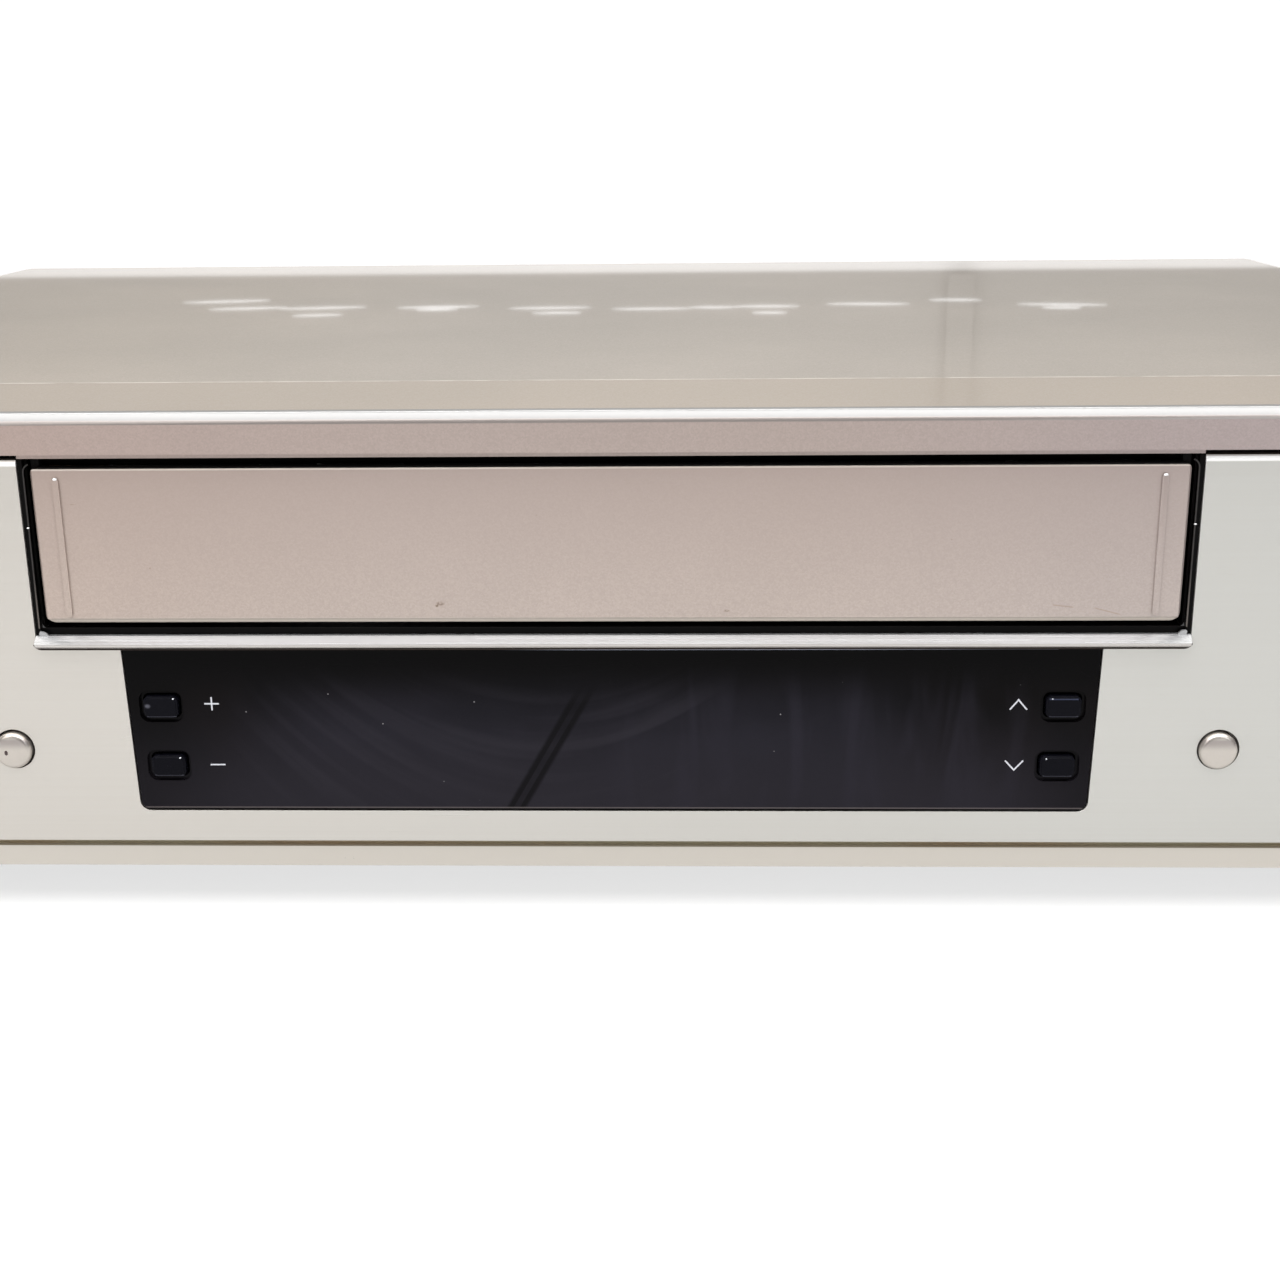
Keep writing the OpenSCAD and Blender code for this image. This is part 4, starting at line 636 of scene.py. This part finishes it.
MATS = {
    # the left and right tints and the door's darker top below are painted light and painted shade
    "champagne_paint": metallic_paint("champagne_paint", C_TOP, tint(C_TOP, 1.03), 0.40, 0.42, peel=3.0e-6, coat=0.8, coat_rough=0.022, flake=0.8, spec=0.2, painted_side_light=((1.01, 0.99, 0.96), (0.96, 0.96, 0.955)), extra=top_extra),
    "champagne_plastic": metallic_paint("champagne_plastic", C_BAND, tint(C_BAND, 1.03), 0.45, 0.34, peel=1.6e-6, coat=1.0, coat_rough=0.09, flake=0.8, spec=0.4, painted_side_light=((0.99, 0.92, 0.90), (0.90, 0.91, 0.985)), extra=fascia_extra),
    "door_plastic": metallic_paint("door_plastic", C_DOOR, tint(C_DOOR, 1.02), 0.40, 0.38, peel=2.4e-6, painted_height_shade=(58.0, 84.0, 0.8, tint(lin(150, 136, 130), 1.09)), flake=0.8, spec=0.15, painted_side_light=((1.0, 0.965, 0.94), (0.93, 0.95, 0.985)), extra=door_extra),
    # the aluminium's warm left and cool right below are painted light
    "panel_aluminium": brushed("panel_aluminium", tint(lin(196, 193, 188), 0.97), tint(lin(199, 197, 193), 0.97), 0.36, lines=5200.0, depth=0.9e-6, painted_warm_cool_light=((1.0, 0.98, 0.96), (0.95, 0.97, 0.975)), extra=panel_extra, calm=0.4),
    "silver_trim": brushed("silver_trim", (0.345, 0.346, 0.350), (0.365, 0.366, 0.370), 0.24, metallic=0.7, lines=2600.0, depth=0.4e-6, anis=0.1, extra=lip_extra),
    "silver_keys": metallic_paint("silver_keys", lin(184, 177, 169), lin(187, 181, 174), 0.75, 0.30, peel=0.4e-6, coat=0.2, flake=0.12, cell_bump=0.05e-6, vary=0.012, extra=round_key_extra),
    "black_frame": moulded("black_frame", (0.0013, 0.0011, 0.0011), 0.40, spec=0.06, depth=1.0e-6, wear=lin(40, 33, 30), mottle=0.2),
    "window_black": window_mat("window_black"),
    "key_black": moulded("key_black", (0.0030, 0.0030, 0.0050), 0.22, grain=1200.0, depth=0.5e-6, spec=0.05, mottle=0.12, wear=lin(30, 30, 40), extra=key_extra),
    "zinc_steel": zinc("zinc_steel", lin(186, 188, 190)),
    "rear_black": moulded("rear_black", lin(30, 30, 32), 0.50, grain=1500.0, depth=6e-6, wear=lin(120, 118, 114), dust=0.3),
    "screw_steel": turned("screw_steel", lin(178, 172, 160), 0.30, 0.95, 2600.0),
    "foot_plastic": moulded("foot_plastic", lin(120, 116, 110), 0.45, wear=lin(166, 162, 156)),
    "pad_rubber": moulded("pad_rubber", lin(24, 24, 25), 0.72, grain=500.0, depth=1.4e-5, spec=0.3, mottle=0.15, dust=0.35),
    "spring_steel": turned("spring_steel", lin(190, 190, 194), 0.26, 1.0, 4200.0),
    "cast_mech": zinc("cast_mech", lin(188, 190, 192), 0.42, 0.9, 420.0),
    "drum_alloy": turned("drum_alloy", lin(214, 216, 219), 0.14, 1.0, 7000.0),
    "white_plastic": moulded("white_plastic", lin(208, 205, 194), 0.38, mottle=0.025, depth=2e-6),
    "black_plastic": moulded("black_plastic", lin(22, 22, 23), 0.34, mottle=0.12, wear=lin(70, 70, 70)),
    "belt_rubber": moulded("belt_rubber", lin(20, 20, 20), 0.66, grain=900.0, depth=8e-6, mottle=0.12),
    "copper_stator": wound("copper_stator", lin(168, 104, 58), lin(122, 68, 38)),
    "head_metal": brushed("head_metal", lin(190, 186, 176), lin(200, 197, 188), 0.25, axis=2, metallic=0.95),
    "ferrite_head": moulded("ferrite_head", lin(70, 62, 54), 0.42, mottle=0.12, metallic=0.2),
    "motor_steel": brushed("motor_steel", lin(172, 175, 178), lin(184, 187, 190), 0.30, axis=2, metallic=0.95, lines=2600.0),
    "brass_gear": turned("brass_gear", lin(206, 170, 96), 0.24, 1.0, 3600.0),
    "circuit_board": board("circuit_board", lin(34, 84, 46)),
    "display_glass": glass_tube("display_glass"),
    "supply_parts": board("supply_parts", lin(126, 96, 58)),
    "tin_can": zinc("tin_can", lin(196, 198, 200), 0.28, 0.95, 320.0),
    "jack_black": moulded("jack_black", lin(26, 26, 28), 0.40, mottle=0.12, wear=lin(80, 80, 82), dust=0.2),
    "jack_gold": turned("jack_gold", lin(212, 188, 120), 0.22, 1.0, 3600.0),
}

for sp in RECORD["subparts"]:
    o = NODES[sp["node"]]
    mat = MATS[sp["material_slot"]]
    if not o.material_slots:
        o.data.materials.append(mat)
    for s in o.material_slots:
        s.material = mat

# ------------------------------------------------------------------ rounded edges on the moulded and cut pieces
EDGES = {
    "front_fascia": 0.25, "front_panel": 0.14, "cassette_door": 0.22, "door_frame": 0.22, "door_lip": 0.07,
    "display_window": 0.10, "feet": 0.5, "foot_pads": 0.4, "cover_screws": 0.18, "top_cover": 0.12,
    "power_button": 0.35, "eject_button": 0.35, "record_speed_button": 0.3, "timer_button": 0.3,
    "time_plus_button": 0.22, "time_minus_button": 0.22, "channel_up_button": 0.22, "channel_down_button": 0.22,
    "play_button": 0.35, "stop_button": 0.35, "rewind_button": 0.35, "fast_forward_button": 0.35,
    "av_jacks": 0.3, "antenna_jacks": 0.2, "power_inlet": 0.3, "rear_panel": 0.12, "base_chassis": 0.12,
    "cassette_holder": 0.12, "carriage_slider": 0.15, "carriage_frame": 0.12,
}
for n, w in EDGES.items():
    o = NODES[n]
    wm = o.modifiers.new("weld", "WELD")
    wm.merge_threshold = 5e-6
    dc = o.modifiers.new("planar", "DECIMATE")
    dc.decimate_type = "DISSOLVE"
    dc.angle_limit = math.radians(0.4)
    bv = o.modifiers.new("round", "BEVEL")
    bv.width = w * MM
    bv.segments = 2
    bv.limit_method = "ANGLE"
    bv.angle_limit = math.radians(32)
    bv.use_clamp_overlap = True
    bv.harden_normals = True

# ------------------------------------------------------------------ small added pieces


def mesh_obj(name, bm, mat, smooth=False):
    bmesh.ops.recalc_face_normals(bm, faces=bm.faces)
    me = bpy.data.meshes.new(name)
    bm.to_mesh(me)
    bm.free()
    for f in me.polygons:
        f.use_smooth = smooth
    o = bpy.data.objects.new(name, me)
    scene.collection.objects.link(o)
    me.materials.append(mat)
    return o


def attach(o, body):
    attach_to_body(o, body)
    return o


def add_prism(bm, pts, d0, d1):
    """Outline pts in (x, z) mm, from depth d0 (front) to d1."""
    f = [bm.verts.new(P(x, d0, z)) for x, z in pts]
    b = [bm.verts.new(P(x, d1, z)) for x, z in pts]
    bm.faces.new(f)
    bm.faces.new(list(reversed(b)))
    n = len(pts)
    for i in range(n):
        j = (i + 1) % n
        bm.faces.new((f[j], f[i], b[i], b[j]))


def stroke(pts, w, closed=False):
    """Outline of a polyline with mitred joints and square ends, as one polygon."""
    left, right = [], []
    n = len(pts)
    for i in range(n):
        p = Vector(pts[i])
        if closed:
            a, c = Vector(pts[i - 1]), Vector(pts[(i + 1) % n])
        else:
            a = Vector(pts[i - 1]) if i > 0 else None
            c = Vector(pts[i + 1]) if i < n - 1 else None
        d1 = (p - a).normalized() if a is not None else (c - p).normalized()
        d2 = (c - p).normalized() if c is not None else d1
        n1, n2 = Vector((-d1.y, d1.x)), Vector((-d2.y, d2.x))
        m = (n1 + n2).normalized()
        k = w / 2 / max(0.35, m.dot(n1))
        left.append(tuple(p + m * k))
        right.append(tuple(p - m * k))
    return left, right


def add_stroke(bm, pts, w, d0, d1, closed=False):
    left, right = stroke(pts, w, closed)
    n = len(pts)
    rng = range(n) if closed else range(n - 1)
    lf = [bm.verts.new(P(x, d0, z)) for x, z in left]
    rf = [bm.verts.new(P(x, d0, z)) for x, z in right]
    lb = [bm.verts.new(P(x, d1, z)) for x, z in left]
    rb = [bm.verts.new(P(x, d1, z)) for x, z in right]
    for i in rng:
        j = (i + 1) % n
        bm.faces.new((lf[i], lf[j], rf[j], rf[i]))
        bm.faces.new((lb[j], lb[i], rb[i], rb[j]))
        bm.faces.new((lf[j], lf[i], lb[i], lb[j]))
        bm.faces.new((rf[i], rf[j], rb[j], rb[i]))
    if not closed:
        bm.faces.new((lf[0], rf[0], rb[0], lb[0]))
        bm.faces.new((rf[-1], lf[-1], lb[-1], rb[-1]))


def arc(cx, cz, r, a0, a1, n=10):
    return [(cx + r * math.cos(math.radians(a0 + (a1 - a0) * i / n)), cz + r * math.sin(math.radians(a0 + (a1 - a0) * i / n))) for i in range(n + 1)]


def dome(bm, x, d, z, rx, rz, h, n=20, rings=4):
    """Low dome standing out towards the front from depth d."""
    top = bm.verts.new(P(x, d - h, z))
    prev = None
    for r in range(1, rings + 1):
        t = math.pi / 2 * r / rings
        ring = [bm.verts.new(P(x + rx * math.sin(t) * math.cos(2 * math.pi * i / n), d - h * math.cos(t), z + rz * math.sin(t) * math.sin(2 * math.pi * i / n))) for i in range(n)]
        for i in range(n):
            j = (i + 1) % n
            if prev is None:
                bm.faces.new((top, ring[j], ring[i]))
            else:
                bm.faces.new((prev[i], prev[j], ring[j], ring[i]))
        prev = ring
    bm.faces.new(prev)


M_PRINT = moulded("print_white", lin(196, 197, 204), 0.5, grain=2600.0, depth=1.0e-6, spec=0.3, mottle=0.08)
M_PRINT_DARK = moulded("print_grey", lin(62, 60, 60), 0.5, grain=2600.0, depth=1.0e-6, spec=0.3, mottle=0.10)


def rim_glint_tone(g, c):
    """Painted highlight: dull along most of the frame's edge, paler near the sill."""
    return g.mix(g.remap(g.xyz(2), 66.0 * MM, 57.0 * MM, smooth=True), c, lin(86, 80, 76))


M_EDGE_GLINT = moulded("frame_edge_glint", lin(46, 43, 42), 0.35, grain=900.0, depth=2.0e-6, spec=0.25, mottle=0.25, extra=rim_glint_tone)
M_GLOSS = moulded("frame_gloss", (0.004, 0.0036, 0.0036), 0.10, grain=900.0, depth=0.8e-6, spec=0.7, mottle=0.2)
# near-white material for small domes that stand in for glints: painted highlight
M_GLINT = brushed("glint_white_tip", lin(240, 240, 240), lin(246, 246, 246), 0.12, metallic=0.5, lines=1800.0, depth=0.2e-6, anis=0.0)
M_NICKEL = turned("nickel_sleeve", lin(196, 196, 192), 0.24, 1.0, 3600.0)
M_YELLOW = moulded("ring_yellow", lin(206, 164, 34), 0.42, mottle=0.04)
M_WHITE = moulded("ring_white", lin(206, 204, 198), 0.42, mottle=0.03)
M_RED = moulded("ring_red", lin(164, 34, 30), 0.42, mottle=0.05)

# symbols printed on the window
bm = bmesh.new()
px, pz = SX - 72.2, 40.65
q = 0.135
add_prism(bm, [(px - q, pz - 1.27), (px + q, pz - 1.27), (px + q, pz - q), (px + 1.33, pz - q), (px + 1.33, pz + q), (px + q, pz + q),
               (px + q, pz + 1.27), (px - q, pz + 1.27), (px - q, pz + q), (px - 1.33, pz + q), (px - 1.33, pz - q), (px - q, pz - q)], 0.07, 0.11)
attach(mesh_obj("mark_plus", bm, M_PRINT), "case")
bm = bmesh.new()
add_stroke(bm, [(SX - 73.35, 28.85), (SX - 70.6, 28.85)], 0.25, 0.07, 0.11)
attach(mesh_obj("mark_minus", bm, M_PRINT), "case")
bm = bmesh.new()
add_stroke(bm, [(SX + 72.0, 39.5), (SX + 73.5, 41.35), (SX + 75.05, 39.5)], 0.27, 0.07, 0.11)
attach(mesh_obj("mark_up", bm, M_PRINT), "case")
bm = bmesh.new()
add_stroke(bm, [(SX + 71.65, 29.75), (SX + 73.3, 27.95), (SX + 74.9, 29.75)], 0.27, 0.07, 0.11)
attach(mesh_obj("mark_down", bm, M_PRINT), "case")

# symbols on the side keys
FACE = -1.25


def tri(bm, x, z, w, h, d=FACE, flip=1):
    add_prism(bm, [(x - flip * w / 2, z - h / 2), (x + flip * w / 2, z), (x - flip * w / 2, z + h / 2)][::flip], d - 0.04, d + 0.02)


bm = bmesh.new(); tri(bm, 167.2, 71.5, 3.4, 3.4)
attach(mesh_obj("mark_play", bm, M_PRINT_DARK), "play_key")
bm = bmesh.new(); add_prism(bm, [(165.6, 58.1), (168.4, 58.1), (168.4, 60.9), (165.6, 60.9)], FACE - 0.04, FACE + 0.02)
attach(mesh_obj("mark_stop", bm, M_PRINT_DARK), "stop_key")
bm = bmesh.new(); tri(bm, 141.8, 65.5, 2.5, 2.9, flip=-1); tri(bm, 144.4, 65.5, 2.5, 2.9, flip=-1)
attach(mesh_obj("mark_rewind", bm, M_PRINT_DARK), "rewind_key")
bm = bmesh.new(); tri(bm, 189.7, 65.5, 2.5, 2.9); tri(bm, 192.3, 65.5, 2.5, 2.9)
attach(mesh_obj("mark_forward", bm, M_PRINT_DARK), "fast_forward_key")
bm = bmesh.new()
add_prism(bm, [(-138.0, 65.9), (-134.0, 65.9), (-136.0, 68.1)], FACE - 0.04, FACE + 0.02)
add_prism(bm, [(-138.0, 64.3), (-134.0, 64.3), (-134.0, 65.1), (-138.0, 65.1)], FACE - 0.04, FACE + 0.02)
attach(mesh_obj("mark_eject", bm, M_PRINT_DARK), "eject_key")
# power: open ring with a bar, printed on the panel over the key
bm = bmesh.new()
add_stroke(bm, arc(-184, 78.4, 1.7, 125, 415, 22), 0.42, -0.04, 0.02)
add_stroke(bm, [(-184, 78.5), (-184, 80.6)], 0.42, -0.045, 0.02)
attach(mesh_obj("mark_power", bm, M_PRINT_DARK), "case")

# painted highlight: a thin pale strip along the inner edge of the door frame, standing in for its glint, with small
# round corners at the top
for side, tag in ((-1, "left"), (1, "right")):
    bm = bmesh.new()
    x0, k = (102.30, 0.0090) if side < 0 else (102.20, 0.0015)
    path = [(SX + side * (x0 - k * (z - 54.9)), z) for z in (54.9, 60.0, 66.0, 72.0, 78.0, 83.4)]
    xe = x0 - k * 28.5
    path += [(SX + side * (xe - 1.5 + 1.5 * math.cos(math.radians(t))), 83.4 + 1.5 * math.sin(math.radians(t))) for t in (18, 36, 54, 72)]
    add_stroke(bm, path, 0.23, 0.20, 0.42)
    attach(mesh_obj("frame_edge_glint_" + tag, bm, M_EDGE_GLINT), "case")
    # silver corner of the lip, climbing the end of the opening
    bm = bmesh.new()
    c = [(side * 102.3, 53.45), (side * 102.3, 54.25), (side * 102.12, 54.42), (side * 101.75, 54.44), (side * 101.3, 54.32), (side * 100.95, 54.08), (side * 100.65, 53.72), (side * 100.5, 53.45)]
    c = [(SX + x, z) for x, z in c]
    add_prism(bm, c if side > 0 else c[::-1], -0.15, 0.28)
    o = attach(mesh_obj("lip_corner_" + tag, bm, MATS["silver_trim"]), "case")
    bv = o.modifiers.new("round", "BEVEL"); bv.width = 0.08 * MM; bv.segments = 2; bv.limit_method = "ANGLE"
    # glossy fillet in the lower corner, outside the door's sweep
    bm = bmesh.new()
    q = [(side * 102.1, 54.85), (side * 102.1, 56.6)] + [(side * (102.1 - 1.0 + 1.0 * math.cos(math.radians(t))), 56.6 - 1.75 * math.sin(math.radians(t))) for t in (15, 30, 45, 60, 75, 90)]
    q = [(SX + x, z) for x, z in q]
    add_prism(bm, q if side > 0 else q[::-1], 0.9, 9.0)
    attach(mesh_obj("frame_fillet_" + tag, bm, M_GLOSS), "case")
    # small pip half way up the frame, painted near white as a painted glint
    bm = bmesh.new(); dome(bm, SX + side * 102.22, 0.16, 73.45, 0.26, 0.15, 0.12, 16, 3)
    attach(mesh_obj("frame_pip_" + tag, bm, M_GLINT, True), "case")
    # tip of the door's rib, a small dome painted near white as a painted highlight
    bm = bmesh.new(); dome(bm, SX + side * 96.5, 0.06, 82.2, 0.42, 0.25, 0.14, 18, 4)
    attach(mesh_obj("rib_tip_" + tag, bm, M_GLINT, True), "door")

# painted shade: a dark strip round the lower side and the ends of the lip, standing in for the shadow line there
bm = bmesh.new()
path = arc(SX - 101.5, 53.1, 1.53, 205, 262, 6) + [(SX - 101.5, 51.55), (SX - 40.0, 51.55), (SX + 40.0, 51.55), (SX + 101.5, 51.55)]
path += arc(SX + 101.5, 53.1, 1.53, 278, 335, 6)
add_stroke(bm, path, 0.14, -1.93, -0.03)
attach(mesh_obj("lip_shadow_line", bm, moulded("lip_shadow_brown", lin(46, 37, 33), 0.5, grain=1800.0, depth=1.0e-6, spec=0.15, mottle=0.15)), "case")


def lathe(bm, x, z, prof, n=56):
    """Closed solid turned about an axis along the depth; prof lists (radius, depth) from the middle of the front to the back."""
    top = bm.verts.new(P(x, prof[0][1], z))
    prev = None
    for r, d in prof[1:]:
        ring = [bm.verts.new(P(x + r * math.cos(2 * math.pi * i / n), d, z + r * math.sin(2 * math.pi * i / n))) for i in range(n)]
        for i in range(n):
            j = (i + 1) % n
            if prev is None:
                bm.faces.new((top, ring[j], ring[i]))
            else:
                bm.faces.new((prev[i], prev[j], ring[j], ring[i]))
        prev = ring
    bm.faces.new(prev)


# softly rounded bright caps on the two round keys
CAP = [(0.0, -1.36), (0.7, -1.355), (1.4, -1.33), (2.0, -1.285), (2.5, -1.215)]
CAP += [(2.5 + 0.93 * math.sin(math.radians(t)), -0.285 - 0.93 * math.cos(math.radians(t))) for t in (12, 24, 36, 48, 60, 72, 84, 90)]
CAP += [(3.43, 0.2), (3.40, 0.3)]
for side, tag, body in ((-1, "left", "record_speed_key"), (1, "right", "timer_key")):
    bm = bmesh.new(); lathe(bm, SX + side * 109.5, 31.8, CAP)
    attach(mesh_obj("key_cap_" + tag, bm, MATS["silver_keys"], True), body)

# dark oval lamp hole in the left round key
bm = bmesh.new(); dome(bm, SX - 109.5 - 1.0, -1.33, 31.6, 0.36, 0.50, 0.06, 16, 3)
attach(mesh_obj("key_lamp", bm, moulded("lamp_red", lin(44, 18, 16), 0.2, grain=1500.0, depth=1e-6, coat=0.4, mottle=0.1), True), "record_speed_key")


def tube(bm, x, z, r0, r1, d0, d1, n=40):
    """Ring with a bore, along the depth."""
    rows = []
    for r, d in ((r0, d0), (r1, d0), (r1, d1), (r0, d1)):
        rows.append([bm.verts.new(P(x + r * math.cos(2 * math.pi * i / n), d, z + r * math.sin(2 * math.pi * i / n))) for i in range(n)])
    for k in range(4):
        a, c = rows[k], rows[(k + 1) % 4]
        for i in range(n):
            j = (i + 1) % n
            bm.faces.new((a[i], a[j], c[j], c[i]))


BACK = 297.9
for x, tag, mat in ((24, "yellow", M_YELLOW), (38, "white", M_WHITE), (52, "red", M_RED)):
    for z, row in ((38, "low"), (58, "high")):
        bm = bmesh.new(); tube(bm, x, z, 4.2, 5.9, BACK + 0.28, BACK + 1.3)
        o = attach(mesh_obj("jack_ring_%s_%s" % (tag, row), bm, mat), "case")
        bv = o.modifiers.new("round", "BEVEL"); bv.width = 0.25 * MM; bv.segments = 2; bv.limit_method = "ANGLE"
        bm = bmesh.new(); tube(bm, x, z, 3.3, 4.22, BACK + 1.0, BACK + 7.36)
        o = attach(mesh_obj("jack_sleeve_%s_%s" % (tag, row), bm, M_NICKEL), "case")
        bv = o.modifiers.new("round", "BEVEL"); bv.width = 0.2 * MM; bv.segments = 2; bv.limit_method = "ANGLE"
for z, tag in ((40, "low"), (62, "high")):
    bm = bmesh.new()
    for i in range(9):
        tube(bm, 150, z, 4.5, 4.95, BACK + 2.6 + i * 0.72, BACK + 2.95 + i * 0.72, 32)
    attach(mesh_obj("aerial_thread_" + tag, bm, MATS["jack_gold"]), "case")

# ------------------------------------------------------------------ floor, backdrop and light
WALL_Y = 3.9
CAM = Vector((21.366 * MM, (FY - 295.777) * MM, 142.7 * MM))


def wall_hit(x, d):
    """Where the wall is seen, from the camera, mirrored in the top of the case at x (from the slot's middle) and depth d."""
    p = S(x, d, 94.0)
    v = p - CAM
    v.z = -v.z
    t = (WALL_Y - 0.02 - p.y) / v.y
    return p + v * t


def make_stage():
    """Pale floor that sweeps up into a wall, pale low down and grey above what the camera sees of it."""
    bm = bmesh.new()
    prof = []
    y0, r, h = -4.0, 0.22, 3.2
    y1 = WALL_Y - r
    for i in range(17):
        prof.append((y0 + (y1 - y0) * i / 16, 0.0))
    for i in range(1, 17):
        a = math.pi / 2 * i / 16
        prof.append((y1 + r * math.sin(a), r - r * math.cos(a)))
    for i in range(1, 17):
        prof.append((y1 + r, r + (h - r) * i / 16))
    rows = []
    for x in [-5.0 + 10.0 * i / 40 for i in range(41)]:
        rows.append([bm.verts.new((x, y, z)) for y, z in prof])
    for a, b in zip(rows, rows[1:]):
        for i in range(len(prof) - 1):
            bm.faces.new((a[i], b[i], b[i + 1], a[i + 1]))
    me = bpy.data.meshes.new("studio_floor")
    bm.to_mesh(me)
    bm.free()
    for f in me.polygons:
        f.use_smooth = True
    o = bpy.data.objects.new("studio_floor", me)
    scene.collection.objects.link(o)
    m, nt, b = mat_new("pale_floor")
    g = G(nt)
    c = g.mix(g.remap(g.noise(3.0, 4.0, 0.6), 0.35, 0.65), (0.225, 0.225, 0.225), (0.235, 0.235, 0.233))
    up = g.remap(g.xyz(2), 0.418, 0.428, smooth=True)
    c = g.mix(up, c, (0.16, 0.157, 0.15))
    g.link(c, b.inputs["Base Color"])
    # the floor and the low part of the wall glow softly, like a light table
    b.inputs["Emission Color"].default_value = (1.0, 1.0, 1.0, 1.0)
    g.link(g.math("MULTIPLY", g.math("SUBTRACT", 1.0, up), 0.66), b.inputs["Emission Strength"])
    g.link(g.remap(g.noise(120.0, 3.0, 0.6), 0.3, 0.7, 0.70, 0.85), b.inputs["Roughness"])
    g.link(g.bump(g.noise(260.0, 3.0, 0.6), 2e-5, 0.6), b.inputs["Normal"])
    b.inputs["Specular IOR Level"].default_value = 0.2
    me.materials.append(m)

    # one dark post, seen only as a soft reflection in the top of the case
    post, pnt, pb = mat_new("dark_post")
    pg = G(pnt)
    pg.link(pg.mix(pg.noise(20.0), (0.11, 0.108, 0.10), (0.13, 0.126, 0.12)), pb.inputs["Base Color"])
    bm = bmesh.new()
    a, c = wall_hit(98, 282), wall_hit(106.5, 282)
    bm.faces.new([bm.verts.new(v) for v in ((a.x, WALL_Y - 0.03, 0.43), (c.x, WALL_Y - 0.03, 0.43), (c.x, WALL_Y - 0.03, 1.1), (a.x, WALL_Y - 0.03, 1.1))])
    po = mesh_obj("dark_post", bm, post)


make_stage()


def area_light(name, loc, target, size, size_y, power, colour=(1, 1, 1)):
    d = bpy.data.lights.new(name, "AREA")
    d.shape = "RECTANGLE"
    d.size, d.size_y = size, size_y
    d.energy = power
    d.color = colour
    o = bpy.data.objects.new(name, d)
    o.location = loc
    o.rotation_mode = "QUATERNION"
    o.rotation_quaternion = (Vector(target) - Vector(loc)).to_track_quat("-Z", "Y")
    scene.collection.objects.link(o)
    return o


def make_light():
    w = bpy.data.worlds.new("studio")
    scene.world = w
    w.use_nodes = True
    bg = w.node_tree.nodes["Background"]
    bg.inputs[0].default_value = (1.0, 0.99, 0.98, 1.0)
    bg.inputs[1].default_value = 0.30
    # ceiling softbox, 2.6 x 1.6 m, a little in front of the middle
    area_light("ceiling", (0.0, -0.45, 1.30), (0.0, -0.449, 0.0), 2.6, 1.6, 68.0)
    area_light("backdrop", (0.0, 2.0, 2.3), (0.0, 3.1, 0.0), 4.6, 1.5, 170.0)
    area_light("front_left", (-0.95, -1.25, 0.75), (0.0, -0.1, 0.05), 0.7, 0.7, 4.5, (1.0, 0.97, 0.93))
    area_light("front_right", (1.0, -1.25, 0.7), (0.0, -0.1, 0.05), 0.7, 0.7, 3.0, (0.93, 0.97, 1.0))
    # row of small far lamps; they only show as soft streaks in the polished top
    n = 0
    for x0, x1, d0, d1 in ((-125, -101, 187, 191), (-113, -92, 169, 172), (-94, -71, 168, 173), (-87, -74, 150, 156), (-63, -41, 168, 173), (-57, -46, 163, 166),
                           (-33, -11, 164, 169), (-26, -13, 152, 157), (-6, 15, 160, 165), (14, 27, 163, 167), (26, 43, 164, 169), (30, 39, 149, 154),
                           (50, 72, 168, 173), (78, 92, 176, 182), (99, 122, 163, 168), (104, 114, 156, 160)):
        a, c = wall_hit(x0, (d0 + d1) / 2), wall_hit(x1, (d0 + d1) / 2)
        za, zc = wall_hit((x0 + x1) / 2, d1).z, wall_hit((x0 + x1) / 2, d0).z
        w_, h_ = abs(c.x - a.x), max(0.0045, 0.7 * abs(zc - za))
        n += 1
        o = area_light("far_lamp_%02d" % n, ((a.x + c.x) / 2, WALL_Y - 0.06, (za + zc) / 2), ((a.x + c.x) / 2 * 0.3, 0.0, 0.1), w_, h_, 1.4 * math.pi * math.pi / 4 * w_ * h_, (0.95, 0.975, 1.0))
        o.data.shape = "ELLIPSE"
        o.visible_camera = False
        o.visible_diffuse = False


make_light()
scene.view_settings.view_transform = "Standard"
scene.view_settings.look = "None"
scene.view_settings.exposure = 0.0
scene.view_settings.gamma = 1.0
